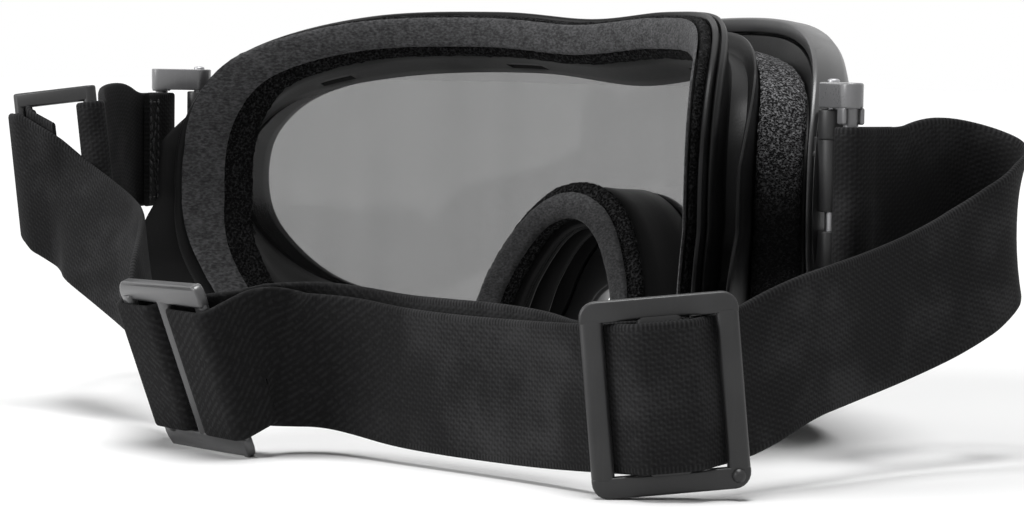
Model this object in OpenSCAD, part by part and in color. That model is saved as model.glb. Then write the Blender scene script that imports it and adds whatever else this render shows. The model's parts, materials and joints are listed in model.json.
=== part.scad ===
// Tactical goggles with hinged strap clips, standing on the cheek lobes of the frame.
// The lens looks along -Y, the wearer's face is on the +Y side and +Z is up.

/* [Frame] */
// Width of the soft face flange
face_w = 156; // [146:1:164]
// Height of the soft face flange
face_h = 89; // [84:1:94]
// How far the temple ends sweep back behind the nose bridge
face_wrap = 56; // [50:1:60]
// Width of the flange's sealing face
flange_w = 9; // [7:0.5:10]
// Thickness of the frame's side wall
wall_t = 2.2; // [1.6:0.1:2.8]
// Reach of the second flange past the side wall's outline
rib_reach = 3.6; // [1:0.2:4]
// Depth of the flat feet cut under the cheek lobes
foot_cut = 0.6; // [0.3:0.1:1]

/* [Front] */
// Width of the hard front frame
front_w = 180; // [176:1:184]
// Height of the hard front frame
front_h = 85.5; // [82:0.5:88]
// Lens opening width
window_w = 170; // [164:1:171]
// Height of the lens opening's top edge over the floor
window_top = 75; // [71:0.5:77]
// Height of the lens opening's lowest edge over the floor
window_low = 17.5; // [14:0.5:20]
// Gap between the nose bridge and the lens, front to back
bridge_depth = 20; // [17:0.5:24]
// Radius of the lens's inner surface
lens_r = 105; // [102:1:110]
// Lens thickness
lens_t = 2.3; // [1.8:0.1:2.8]
// Thickness of the front frame's lip over the lens
lip_t = 2.2; // [1.6:0.1:3]

/* [Padding] */
// Thickness of the face foam
foam_t = 4.4; // [3:0.2:6]
// Thickness of the brushed facing glued on the foam
facing_t = 1; // [0.6:0.1:1.4]
// Thickness of the vent foam over the air windows
vent_t = 2; // [1.4:0.1:2.6]

/* [Clips] */
// Distance of each hinge pin out from the front frame's side
hinge_out = 4.6; // [4.2:0.1:5.4]
// Distance of each hinge pin back from the lens's edge
hinge_back = 3.6; // [3.2:0.1:4.6]
// Height of the middle of the clips
clip_z = 50.2; // [48.5:0.1:52]
// Height of the clips' open window
clip_window = 38; // [36:0.5:39]
// Height of the clips' upper and lower arms
clip_arm_h = 5; // [4:0.5:5.5]
// Hinge pin radius
pin_r = 1.25; // [1:0.05:1.35]
// Running clearance of the hinge pins
pin_clear = 0.05; // [0.02:0.01:0.08]
// Distance from the hinge pin to the strap bar
arm_l = 9.4; // [9:0.1:10]
// Angle of the clip arms away from straight back
arm_angle = 58; // [52:1:62]
// Height of each hinge ear
ear_h = 6; // [4:0.5:8]

/* [Strap] */
// Width of the elastic strap
strap_w = 27; // [25:0.1:27.3]
// Thickness of the elastic strap
strap_t = 1.4; // [1.2:0.1:1.4]
// Radius of the round bars that the strap is looped on
bar_r = 1.5; // [1.3:0.1:1.5]
// Gap between the strap and what it is looped on
strap_gap = 0.3; // [0.26:0.02:0.3]

/* [Buckles] */
// Length of the two sliders along the strap
slider_l = 28.5; // [28:0.1:29.5]
// Thickness of the sliders
slider_t = 2.2; // [2:0.1:2.2]
// Height of the sliders' rails above and below the strap
rail_h = 3.9; // [3:0.1:4]
// Width of the sliders' end bars
end_bar = 4.2; // [3.8:0.1:4.4]
// Width of the adjust slider's middle bar
mid_bar = 8.4; // [8:0.1:8.6]
// Width of the link slider's middle bar
link_mid_bar = 3.2; // [2.8:0.1:3.3]
// Distance between the two round bars of the ring buckle
ring_span = 17; // [16.5:0.1:18]
// Height of the ring buckle's rails
ring_rail_h = 3.3; // [2.6:0.1:3.6]

/* [Hidden] */
$fn = 48;

seat = 0.3;
// Place, from the foot of the goggles' middle, over which the whole object's box is centred
origin_x = -9.5;
origin_y = 54.2;
// Curve steps between two control points of an outline
outline_steps = 3;

// Puts a piece in the object's frame
module placed() {
    translate([-origin_x, -origin_y, 0])
        children();
}

// The same for the pieces of the frame, which is sunk a little for its cut feet
module placed_frame() {
    placed()
        translate([0, 0, -foot_cut])
            children();
}

// Outline of half a goggle shape, from the top middle to the nose bridge
function half_outline(half, low, high, brow, chin, cheek, nose_half, nose_top) =
    let (h = high - low, n = nose_top - low)
    [
        [0, high - brow], [0.32 * half, high], [0.65 * half, high - 0.015 * h],
        [0.875 * half, high - 0.1 * h], [0.975 * half, high - 0.25 * h],
        [half, low + 0.54 * h], [0.97 * half, low + (chin + 0.19) * h],
        [0.86 * half, low + chin * h], [0.68 * half, low + 0.45 * chin * h], [cheek, low],
        [nose_half + 0.35 * (cheek - nose_half), low + 0.1 * n],
        [0.95 * nose_half, low + 0.38 * n], [0.72 * nose_half, low + 0.68 * n],
        [0.38 * nose_half, low + 0.92 * n], [0, nose_top]
    ];

function flip_x(p) = [-p[0], p[1]];
function cubic(a, b, c, d, t) =
    0.5 * (2 * b + (c - a) * t + (2 * a - 5 * b + 4 * c - d) * t * t
    + (3 * b - a - 3 * c + d) * t * t * t);
function before(pts, i) = i == 0 ? flip_x(pts[1]) : pts[i - 1];
function after(pts, i) = i + 2 == len(pts) ? flip_x(pts[i]) : pts[i + 2];
function half_curve(pts) = concat(
    [for (i = [0:len(pts) - 2], s = [0:outline_steps - 1])
        cubic(before(pts, i), pts[i], pts[i + 1], after(pts, i), s / outline_steps)],
    [pts[len(pts) - 1]]
);
// Closed loop: down the wearer's left side to the nose and up the right side
function loop(pts) =
    let (half = half_curve(pts), n = len(half))
    concat(half, [for (k = [n - 2:-1:1]) flip_x(half[k])]);

face_nose_top = 40.5;
face_loop = loop(half_outline(face_w / 2, 0, face_h, 1.5, 0.145, 39, 18, face_nose_top));
front_low = 2.5;
front_loop = loop(half_outline(front_w / 2, front_low, front_low + front_h, 2.5, 0.2, 38, 19, 38));
window_loop = loop(half_outline(window_w / 2, window_low, window_top, 2.5, 0.16, 33, 24, 48.5));
stations = len(face_loop);

function along(pts, k) = pts[(k + stations) % stations];
function outward(pts, k) =
    let (t = along(pts, k + 1) - along(pts, k - 1), l = norm(t))
    [-t[1], t[0]] / l;
face_out = [for (k = [0:stations - 1]) outward(face_loop, k)];
front_out = [for (k = [0:stations - 1]) outward(front_loop, k)];
function mix(a, b, t) = a + (b - a) * t;

// The flange follows the face: it sweeps back to the temples and a little to the cheeks
face_power = 2.4;
cheek_back = 8;
function face_y(p) =
    face_wrap * pow(abs(p[0]) / (face_w / 2), face_power)
    + cheek_back * max(0, 1 - p[1] / (face_nose_top + 5));
// The lens is part of an upright cylinder
lens_axis_y = lens_r - bridge_depth;
function lens_y(x, lift) = lens_axis_y - sqrt(pow(lens_r + lift, 2) - x * x);

// A place on the frame. depth runs from 0 at the face to 1 at the lens, band from 0 at the
// outline to 1 at the opening, lift is measured out of the lens and spread out of the outline.
function place(k, depth, band, lift = 0, spread = 0, back = 0) =
    let (
        a = face_loop[k] - face_out[k] * (band * flange_w - spread),
        b = mix(front_loop[k], window_loop[k], band) + front_out[k] * spread,
        p = [a[0], face_y(a) + back, a[1]],
        q = [b[0], lens_y(b[0], lift) + back, b[1]]
    )
    mix(p, q, depth);

// Solid swept round the whole frame. Each section point is the argument list of place().
module ring_sweep(section) {
    n = len(section);
    points = [for (k = [0:stations - 1], s = section)
        place(k, s[0], s[1], s[2], s[3] + s[5] * temple(k), s[4])];
    faces = [for (k = [0:stations - 1], i = [0:n - 1])
        let (m = (k + 1) % stations, j = (i + 1) % n)
        each [[k * n + i, k * n + j, m * n + j], [k * n + i, m * n + j, m * n + i]]];
    polyhedron(points, faces);
}

// Solid swept over some of the stations and closed at both ends
module part_sweep(section, first, last) {
    n = len(section);
    count = last - first;
    points = [for (k = [first:last], s = section)
        place((k + stations) % stations, s[0], s[1], s[2], s[3], s[4])];
    sides = [for (k = [0:count - 1], i = [0:n - 1])
        let (j = (i + 1) % n)
        each [[k * n + i, k * n + j, k * n + n + j], [k * n + i, k * n + n + j, k * n + n + i]]];
    start = [for (i = [1:n - 2]) [0, i + 1, i]];
    end = [for (i = [1:n - 2]) [count * n, count * n + i, count * n + i + 1]];
    polyhedron(points, concat(sides, start, end));
}

// Share of the second flange's reach: all at the temples, none at the nose and less than none
// along the brow, where the flange stays under the outline. The brow starts at this share of
// the height and is reached over the next one.
brow_start = 0.65;
brow_fade = 0.12;
// The flange flares out over the cheeks' outer corners, between these shares of the height
flare = 1.3;
flare_span = [0.12, 0.22, 0.33, 0.5];
function ramp(v, low, high) = min(1, max(0, (v - low) / (high - low)));
function temple(k) =
    let (v = face_loop[k][1] / face_h)
    max(-1, min(1, abs(face_loop[k][0]) / 50, 1 - (v - brow_start) / brow_fade))
    + flare * ramp(v, flare_span[0], flare_span[1]) * (1 - ramp(v, flare_span[2], flare_span[3]))
    * ramp(abs(face_loop[k][0]), 40, 60);

// Depths at which the frame's parts meet, as shares of the way from face to lens
flange_end = 0.12;
rib_start = 0.36;
rib_end = 0.44;
skirt_start = 0.93;
// Bands at which they meet, as shares of the way from the outline to the opening
skirt_in = 0.24;
seat_out = 0.3;
gasket_t = 1;
body_lift = -(gasket_t + 2 * seat);

module window_cut(at, size) {
    translate(at)
        cube(size, center = true);
}

// Air windows through the side wall, under the vent foam: their stations on the wearer's left
// and the sizes of the cuts at the brow, the temple and the cheek
vent_depth = (rib_end + skirt_start) / 2;
brow_vents = [3, 8];
brow_cut = [10, 4, 30];
temple_vents = [14, 17];
temple_cut = [24, 4, 8];
cheek_vents = [24];
cheek_cut = [8, 4, 26];

module windows_at(vents, size) {
    for (k = vents, side = [k, stations - k])
        window_cut(place(side, vent_depth, 0.5, body_lift), size);
}

module air_windows() {
    windows_at(brow_vents, brow_cut);
    windows_at(temple_vents, temple_cut);
    windows_at(cheek_vents, cheek_cut);
}

module foot_plane() {
    translate([-face_w, -face_w, foot_cut - 20])
        cube([2 * face_w, 3 * face_w, 20]);
}

module frame_body() {
    color([0.13, 0.13, 0.14])
        placed_frame()
            difference() {
                ring_sweep([
                    [0, 0.04, 0, 0, 0, 0],
                    [0, 1, 0, 0, 0, 0],
                    [0.06, 1.04, 0, 0, 0, 0],
                    [0.5, 1, body_lift, 0, 0, 0],
                    [1, 1, body_lift, 0, 0, 0],
                    [1, seat_out, body_lift, 0, 0, 0],
                    [skirt_start - 0.01, seat_out, body_lift, 0, 0, 0],
                    [skirt_start - 0.03, 1, body_lift, wall_t, 0, 0],
                    [rib_end, 1, body_lift, wall_t, 0, 0],
                    [rib_end, 0, body_lift, -0.6, 0, rib_reach],
                    [rib_start + 0.01, 0, body_lift, -0.2, 0, rib_reach],
                    [rib_start, 1, body_lift, wall_t + 0.4, 0, 0],
                    [flange_end + 0.02, 1, body_lift, wall_t + 0.4, 0, 0],
                    [flange_end, 0.04, 0, 0, 0, 0],
                    [0.07, -0.03, 0, 0, 0, 0],
                    [0.05, 0.07, 0, 0, 0, 0],
                    [0.03, -0.02, 0, 0, 0, 0]
                ]);
                air_windows();
                foot_plane();
            }
}

module front_frame() {
    front = lens_t + seat;
    color([0.2, 0.2, 0.21])
        placed_frame()
            ring_sweep([
                [skirt_start, 0, body_lift, 0, 0, 0],
                [skirt_start, skirt_in, body_lift, 0, 0, 0],
                [1, skirt_in, body_lift, 0, 0, 0],
                [1, skirt_in, front, 0, 0, 0],
                [1, 0.92, front, 0, 0, 0],
                [1, 0.9, front + 0.7 * lip_t, 0, 0, 0],
                [1, 0.5, front + lip_t, 0, 0, 0],
                [1, 0.14, front + 0.8 * lip_t, 0, 0, 0],
                [1, 0.02, front + 0.1 * lip_t, 0, 0, 0],
                [1, 0, 0, 0, 0, 0]
            ]);
}

function band_outline(band) = [for (k = [0:stations - 1]) mix(front_loop[k], window_loop[k], band)];

module lens() {
    depth_room = 2 * lens_r;
    color([0.35, 0.36, 0.37, 0.55])
        placed_frame()
            intersection() {
                rotate([90, 0, 0])
                    linear_extrude(height = depth_room, center = true)
                        polygon(band_outline(seat_out));
                difference() {
                    translate([0, lens_axis_y, -front_h])
                        cylinder(r = lens_r + lens_t, h = 3 * front_h, $fn = 180);
                    translate([0, lens_axis_y, -front_h - 1])
                        cylinder(r = lens_r, h = 3 * front_h + 2, $fn = 180);
                    translate([-2 * lens_r, lens_axis_y, -front_h - 1])
                        cube([4 * lens_r, 2 * lens_r, 3 * front_h + 2]);
                }
            }
}

module lens_gasket() {
    color([0.08, 0.08, 0.08])
        placed_frame()
            ring_sweep([
                [1, 0.38, -seat - gasket_t, 0, 0, 0],
                [1, 0.38, -seat, 0, 0, 0],
                [1, 0.95, -seat, 0, 0, 0],
                [1, 0.95, -seat - gasket_t, 0, 0, 0]
            ]);
}

// Crowned cushion round the face side of the flange
module face_foam() {
    color([0.16, 0.16, 0.16])
        placed_frame()
            ring_sweep([
                [0, 0.1, 0, 0, seat, 0],
                [0, 0.07, 0, 0, seat + 0.5 * foam_t, 0],
                [0, 0.2, 0, 0, seat + 0.9 * foam_t, 0],
                [0, 0.55, 0, 0, seat + foam_t, 0],
                [0, 0.95, 0, 0, seat + 0.9 * foam_t, 0],
                [0, 1.14, 0, 0, seat + 0.5 * foam_t, 0],
                [0, 1.08, 0, 0, seat, 0]
            ]);
}

module face_facing() {
    under = 2 * seat;
    color([0.22, 0.22, 0.22])
        placed_frame()
            ring_sweep([
                [0, 0.2, 0, 0, under + 0.9 * foam_t, 0],
                [0, 0.22, 0, 0, under + 0.9 * foam_t + 0.7 * facing_t, 0],
                [0, 0.55, 0, 0, under + foam_t + facing_t, 0],
                [0, 0.94, 0, 0, under + 0.9 * foam_t + 0.7 * facing_t, 0],
                [0, 0.96, 0, 0, under + 0.9 * foam_t, 0],
                [0, 0.55, 0, 0, under + foam_t, 0]
            ]);
}

// Strip of filter foam laid over the air windows between two stations of the outline
module vent_strip(first, last) {
    low = wall_t + seat;
    color([0.24, 0.24, 0.24])
        placed_frame()
            part_sweep([
                [rib_end + 0.03, 1, body_lift, low, 0],
                [rib_end + 0.03, 1, body_lift, low + vent_t, 0],
                [skirt_start - 0.06, 1, body_lift, low + vent_t, 0],
                [skirt_start - 0.06, 1, body_lift, low, 0]
            ], first, last);
}

module top_vent_foam() {
    vent_strip(-9, 9);
}

module left_vent_foam() {
    vent_strip(10, 21);
}

module right_vent_foam() {
    vent_strip(stations - 21, stations - 10);
}

module lower_left_vent_foam() {
    vent_strip(22, 28);
}

module lower_right_vent_foam() {
    vent_strip(stations - 28, stations - 22);
}

// Clips at both temples
window_h = strap_w + 2 * strap_gap;
clip_h = clip_window + 2 * clip_arm_h;
clip_low = clip_z - clip_h / 2;
hinge_x = front_w / 2 + hinge_out;
hinge_y = lens_y(front_w / 2, 0) + hinge_back;
knuckle_r = pin_r + 1.6;
arm_t = 4.8;

// Everything at the left temple; the right temple is its mirror image
module right_side() {
    mirror([1, 0, 0])
        children();
}

// Stations between which the clip base lies on the front frame, and the lifts of its two edges
base_first = 9;
base_last = 21;
base_back = body_lift + 0.5;
base_front = 1;
// Half the width of the front frame at a height over the floor
function side_x(z) = lookup(z, [for (k = [base_last:-1:base_first])
    [front_loop[k][1] - foot_cut, front_loop[k][0]]]);

// Depth at the hinge pin of an ear's root, which runs forward into the clip base's plate
ear_root = 4;

module ear(z) {
    root_x = max(side_x(z), side_x(z + ear_h)) + 2 * seat;
    translate([0, 0, z])
        difference() {
            union() {
                translate([hinge_x, hinge_y, 0])
                    cylinder(r = knuckle_r, h = ear_h);
                linear_extrude(height = ear_h)
                    polygon([
                        [root_x, lens_y(root_x, base_front)],
                        [hinge_x + pin_r, hinge_y - ear_root],
                        [hinge_x + pin_r, hinge_y],
                        [root_x, lens_y(root_x, base_back)]
                    ]);
            }
            translate([hinge_x, hinge_y, -1])
                cylinder(r = pin_r + pin_clear, h = ear_h + 2);
        }
}

// Plate on the front frame's side with two ears, between the arms of the clip
module clip_base() {
    skin = 2.5;
    base_low = clip_low + clip_arm_h + seat;
    base_h = clip_window - 2 * seat;
    color([0.25, 0.25, 0.26])
        union() {
            intersection() {
                translate([0, 0, -foot_cut])
                    part_sweep([
                        [1, 0, base_back, seat, 0],
                        [1, 0, base_front, seat, 0],
                        [1, 0, base_front, seat + skin, 0],
                        [1, 0, base_back, seat + skin, 0]
                    ], base_first, base_last);
                translate([0, 0, base_low])
                    cube([hinge_x, hinge_y + 10, base_h]);
            }
            ear(base_low);
            ear(base_low + base_h - ear_h);
        }
}

module left_clip_base() {
    placed()
        clip_base();
}

module right_clip_base() {
    placed()
        right_side()
            clip_base();
}

module hinge_pin() {
    color([0.5, 0.5, 0.52])
        translate([hinge_x, hinge_y, clip_low])
            cylinder(r = pin_r, h = clip_h);
}

module left_hinge_pin() {
    placed()
        hinge_pin();
}

module right_hinge_pin() {
    placed()
        right_side()
            hinge_pin();
}

// Bracket with an upper and a lower arm and a round strap bar between them, drawn straight
// back along +Y from its hinge and then swung outward
module strap_clip() {
    color([0.22, 0.22, 0.23])
        translate([hinge_x, hinge_y, clip_low])
            rotate([0, 0, -arm_angle])
                difference() {
                    union() {
                        for (z = [0, clip_h - clip_arm_h]) {
                            translate([0, 0, z])
                                cylinder(r = knuckle_r, h = clip_arm_h);
                            translate([-arm_t / 2, 0, z])
                                cube([arm_t, arm_l, clip_arm_h]);
                            translate([0, arm_l, z])
                                cylinder(r = arm_t / 2, h = clip_arm_h);
                        }
                        translate([0, arm_l, 0])
                            cylinder(r = bar_r, h = clip_h);
                    }
                    translate([0, 0, -1])
                        cylinder(r = pin_r + pin_clear, h = clip_h + 2);
                }
}

module left_strap_clip() {
    placed()
        strap_clip();
}

module right_strap_clip() {
    placed()
        right_side()
            strap_clip();
}

// Middle of the left clip's strap bar
bar_x = hinge_x + arm_l * sin(arm_angle);
bar_y = hinge_y + arm_l * cos(arm_angle);

// A frame is [x, y, z, yaw, tilt, lean]: a buckle's middle and how it is turned. Its first
// axis runs along the strap, its second one through the buckle and its third one along its bars.
function yawed(v, a) = [v[0] * cos(a) - v[1] * sin(a), v[0] * sin(a) + v[1] * cos(a), v[2]];
function along_axis(f) = yawed([cos(f[4]), 0, sin(f[4])], f[3]);
function through_axis(f) = yawed([-sin(f[4]) * sin(f[5]), cos(f[5]), cos(f[4]) * sin(f[5])], f[3]);
function bar_axis(f) = yawed([-sin(f[4]) * cos(f[5]), -sin(f[5]), cos(f[4]) * cos(f[5])], f[3]);
module at_frame(f) {
    translate([f[0], f[1], f[2]])
        rotate([f[5], -f[4], f[3]])
            children();
}

// Route points are [x, y, z, ux, uy, uz]: a place on the strap's middle line and the way up
// of the strap there. These are points of a frame, given as [along, through, up].
function spots(f, list) = [for (p = list)
    concat(
        [f[0], f[1], f[2]] + p[0] * along_axis(f) + p[1] * through_axis(f)
        + (len(p) > 2 ? p[2] : 0) * bar_axis(f),
        bar_axis(f)
    )];
// Round stretch of a route; the corner cutting of ribbon() pulls it in by as much as it is widened
arc_steps = 6;
arc_widen = 1.02;
function arc(c, r, from, to) = [for (i = [0:arc_steps])
    let (a = from + (to - from) * i / arc_steps)
    c + arc_widen * r * [cos(a), sin(a)]];
function spun(list, c, a) = [for (p = list)
    c + [p[0] * cos(a) - p[1] * sin(a), p[0] * sin(a) + p[1] * cos(a)]];
function reversed(list) = [for (i = [len(list) - 1:-1:0]) list[i]];
function cut_corners(p) = concat(
    [p[0]],
    [for (i = [0:len(p) - 2]) each [mix(p[i], p[i + 1], 0.25), mix(p[i], p[i + 1], 0.75)]],
    [p[len(p) - 1]]
);
function unit(v) = v / norm(v);
function head(p) = [p[0], p[1], p[2]];
function tail(p) = [p[3], p[4], p[5]];
function heading(p, i) = unit(head(p[min(i + 1, len(p) - 1)]) - head(p[max(i - 1, 0)]));

// Flat ribbon that follows a route
module ribbon(route) {
    p = cut_corners(route);
    n = len(p);
    points = [for (i = [0:n - 1])
        let (
            t = heading(p, i),
            up = unit(tail(p[i]) - (tail(p[i]) * t) * t),
            a = cross(t, up) * strap_t / 2,
            b = up * strap_w / 2,
            c = head(p[i])
        )
        each [c - a - b, c + a - b, c + a + b, c - a + b]];
    sides = [for (i = [0:n - 2], j = [0:3])
        let (m = (j + 1) % 4)
        each [[4 * i + j, 4 * i + m, 4 * i + 4 + m], [4 * i + j, 4 * i + 4 + m, 4 * i + 4 + j]]];
    last = 4 * n;
    ends = [[0, 3, 2], [0, 2, 1], [last - 4, last - 3, last - 2], [last - 4, last - 2, last - 1]];
    polyhedron(points, concat(sides, ends));
}

// Distance between the middles of two layers that lie on each other
layer = strap_t + strap_gap;
// Radius of the strap's middle line round a bar of the clips and of the ring
loop_r = bar_r + strap_gap + strap_t / 2;
// Loop round a bar at c, sewn to itself on the side where it leaves along the angle a. The
// first end is the long one, on the side given by hand.
function bar_wrap(c, a, long_end, sewn, hand) = spun(concat(
    [[long_end, -hand * layer / 2], [6, -hand * layer / 2], [3, -hand * 0.85 * loop_r]],
    arc([0, 0], loop_r, -hand * 90, -hand * 270),
    [[3, hand * 0.85 * loop_r], [6, hand * layer / 2], [sewn, hand * layer / 2]]
), c, a);

// Buckle frames, the link slider leaning back and the adjust slider lifted at one end
slider_h = window_h + 2 * rail_h;
corner_r = 3;
link_lean = 21;
adjust_tilt = -5.5;
link_z = slider_h / 2 * cos(link_lean) + slider_t / 2 * sin(link_lean);
adjust_z = corner_r + (slider_h / 2 - corner_r) * cos(adjust_tilt)
    - (slider_l / 2 - corner_r) * sin(adjust_tilt);
ring = [71.7, 93.9, 52.7, 24, -7, 0];
link = [-5.5, 124, link_z, 172.5, 0, link_lean];
adjust = [-108, 100.5, adjust_z, 45, adjust_tilt, 0];
left_bar = [bar_x, bar_y, 55, 0, 0, 0];
right_bar = [-bar_x, bar_y, clip_z + 2, 0, 0, 0];

// Short strap from the left clip to the ring buckle
module anchor_strap() {
    color([0.12, 0.12, 0.12])
        placed() ribbon(concat(
            reversed(spots(left_bar, bar_wrap([0, 0], 119, 15, 12, 1))),
            [[91, 61, 57.5, 0, 0, 1], [86.4, 68.4, 57.5, 0, 0, 1], [80.6, 76, 56.5, 0, 0, 1]],
            spots(ring, bar_wrap([-ring_span / 2, 0], -68, 14, 11, 1))
        ));
}

module ring_buckle() {
    ring_h = window_h + 2 * ring_rail_h;
    color([0.2, 0.2, 0.21])
        placed() at_frame(ring)
            translate([0, 0, -ring_h / 2])
                union() {
                    for (x = [-1, 1])
                        translate([x * ring_span / 2, 0, 0])
                            cylinder(r = bar_r, h = ring_h);
                    for (z = [0, ring_h - ring_rail_h])
                        translate([-ring_span / 2, -bar_r, z])
                            cube([ring_span, 2 * bar_r, ring_rail_h]);
                }
}

// Slider measures: middle lines of the rounded bar edges and the strap's radius round them
edge_r = slider_t / 2;
wrap_r = edge_r + strap_gap + strap_t / 2;
end_out = slider_l / 2 - edge_r;
end_in = slider_l / 2 - end_bar + edge_r;
link_mid = link_mid_bar / 2 + strap_gap + strap_t / 2 + wrap_r;
mid_edge = mid_bar / 2 - edge_r;
over_r = wrap_r + layer;
// Slope of the strap where it passes through the adjust slider's slots
pass = asin((over_r + wrap_r) / (end_in - mid_edge));

// Lit strap that sinks from the ring buckle to the link slider
module side_strap() {
    u = ring_span / 2;
    color([0.14, 0.14, 0.14])
        placed() ribbon(concat(
            spots(ring, concat(
                [[-2.5, 2.8, -2], [2.5, loop_r, -0.6]],
                arc([4.4, 0.9], loop_r - 0.9, 90, 0),
                arc([u, 0], loop_r, 180, 400),
                [[7.6, 4.1], [4.4, 4.3, -1.4], [0, 4.6, -4]]
            )),
            [
                [63, 98.5, 42.5, 0.3, -0.32, 0.9], [52, 97.6, 37, 0.3, -0.32, 0.9],
                [41.5, 99, 33, 0.3, -0.3, 0.9], [31, 103, 29.5, 0.25, -0.1, 0.95],
                [21, 110, 25, 0.15, 0.15, 0.97]
            ],
            spots(link, concat(
                [[-20.5, 5], [-16, 2.9], [-end_out, wrap_r]],
                arc([-link_mid, 0], wrap_r, 90, -90),
                arc([-end_out, 0], wrap_r, 270, 205),
                [[-16.8, 1], [-20.8, 3]]
            ))
        ));
}

// Flat bar with two rounded edges, standing in a slider's window
module slat(from, to) {
    translate([from + edge_r, -edge_r, -window_h / 2 - 1])
        cube([to - from - slider_t, slider_t, window_h + 2]);
    for (x = [from + edge_r, to - edge_r])
        translate([x, 0, -window_h / 2 - 1])
            cylinder(r = edge_r, h = window_h + 2);
}

// Slider drawn round the origin, its length along X and its bars along Z
module slider(middle) {
    half = slider_l / 2;
    for (side = [0, 1])
        mirror([0, 0, side])
            translate([0, edge_r, 0])
                rotate([90, 0, 0])
                    linear_extrude(height = slider_t)
                        union() {
                            translate([-half, window_h / 2])
                                square([slider_l, rail_h - corner_r]);
                            translate([corner_r - half, window_h / 2])
                                square([slider_l - 2 * corner_r, rail_h]);
                            for (x = [corner_r - half, half - corner_r])
                                intersection() {
                                    translate([x, slider_h / 2 - corner_r])
                                        circle(r = corner_r);
                                    translate([x - corner_r, window_h / 2])
                                        square([2 * corner_r, rail_h]);
                                }
                        }
    slat(-half, -half + end_bar);
    slat(-middle / 2, middle / 2);
    slat(half - end_bar, half);
}

module link_slider() {
    color([0.3, 0.3, 0.31])
        placed() at_frame(link)
            slider(link_mid_bar);
}

module adjust_slider() {
    color([0.3, 0.3, 0.31])
        placed() at_frame(adjust)
            slider(mid_bar);
}

// Places on the straight stretches through the adjust slider: how far out, on which layer
function pass_spot(side, out, deep) = [
    side * (end_in - (wrap_r + deep * layer) * sin(pass) + out * cos(pass)),
    -(wrap_r + deep * layer) * cos(pass) - out * sin(pass)
];

// One long strap: sewn round the adjust slider's middle bar, folded at the link slider, back
// through the adjust slider and on to the right clip
module main_strap() {
    color([0.13, 0.13, 0.13])
        placed() ribbon(concat(
            spots(adjust, concat(
                [[2.6, wrap_r]],
                arc([-mid_edge, 0], wrap_r, 90, 270),
                [[mid_edge, -wrap_r], [6.4, -wrap_r], pass_spot(1, 1, 1), pass_spot(1, 9, 1)]
            )),
            [
                [-80, 102, 18.5, 0, 0, 1], [-68, 101.7, 19, 0, 0, 1], [-56, 101.9, 19, 0, 0, 1],
                [-44, 102.2, 19, 0, 0, 1], [-33, 102.7, 20, 0, 0.05, 1],
                [-24.4, 104.9, 20.8, 0, 0.2, 1], [-19.6, 111.3, 20.5, 0.02, 0.32, 0.95]
            ],
            spots(link, concat(
                [[12.2, 8.3], [7.6, 6.6], [3, 3.6]],
                arc([link_mid, 0], wrap_r, 180, 270),
                arc([end_out, 0], wrap_r, -90, 0),
                [[15.1, 5], [15, 9]]
            )),
            [
                [-22.4, 112, 18.8, 0.02, 0.3, 0.95], [-26.6, 107.4, 18.6, 0, 0.2, 1],
                [-33.6, 105, 18, 0, 0.05, 1], [-44, 104.5, 16.8, 0, 0, 1],
                [-56, 104.2, 16.4, 0, 0, 1], [-68, 104, 16.4, 0, 0, 1],
                [-80, 104.3, 16.6, 0, 0, 1]
            ],
            spots(adjust, concat(
                [pass_spot(1, 8, 0), pass_spot(1, 0, 0)],
                arc([mid_edge, 0], over_r, 90 - pass, 90),
                arc([-mid_edge, 0], over_r, 90, 90 + pass),
                [pass_spot(-1, 0, 0), pass_spot(-1, 8, 0)]
            )),
            [
                [-115.6, 72, 25.4, 0, 0, 1], [-116.6, 60, 27.8, 0, 0, 1],
                [-117, 49, 29.8, 0, 0, 1], [-118.4, 38, 32.6, 0, 0, 1],
                [-120.6, 29, 36, 0, 0, 1], [-122.8, 20.5, 40.4, 0, 0, 1],
                [-122.6, 12.5, 44.6, 0, 0, 1], [-118.4, 6.2, 48.2, 0, 0, 1],
                [-113, 5, 51, 0, 0, 1], [-108.6, 8, 53, 0, 0, 1],
                [-106.9, 13, 54, 0, 0, 1], [-106.4, 19, 54, 0, 0, 1]
            ],
            spots(right_bar, bar_wrap([0, 0], 261, 15, 12, 1))
        ));
}

frame_body();
front_frame();
lens();
lens_gasket();
face_foam();
face_facing();
top_vent_foam();
left_vent_foam();
right_vent_foam();
lower_left_vent_foam();
lower_right_vent_foam();
left_clip_base();
right_clip_base();
left_hinge_pin();
right_hinge_pin();
left_strap_clip();
right_strap_clip();
anchor_strap();
ring_buckle();
side_strap();
link_slider();
main_strap();
adjust_slider();
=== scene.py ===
"""Looks of a pair of tactical goggles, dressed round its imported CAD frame.

Sizes are in millimetres. The straps' routes and the frame's sections are given from the
middle plane of the goggles, and placed() turns them into the part's own frame in metres.
"""

import json
import logging
import math
from dataclasses import dataclass, field
from enum import Enum
from typing import Callable, ClassVar, Sequence

import bpy
import numpy as np
from mathutils import Matrix, Vector, noise

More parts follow.
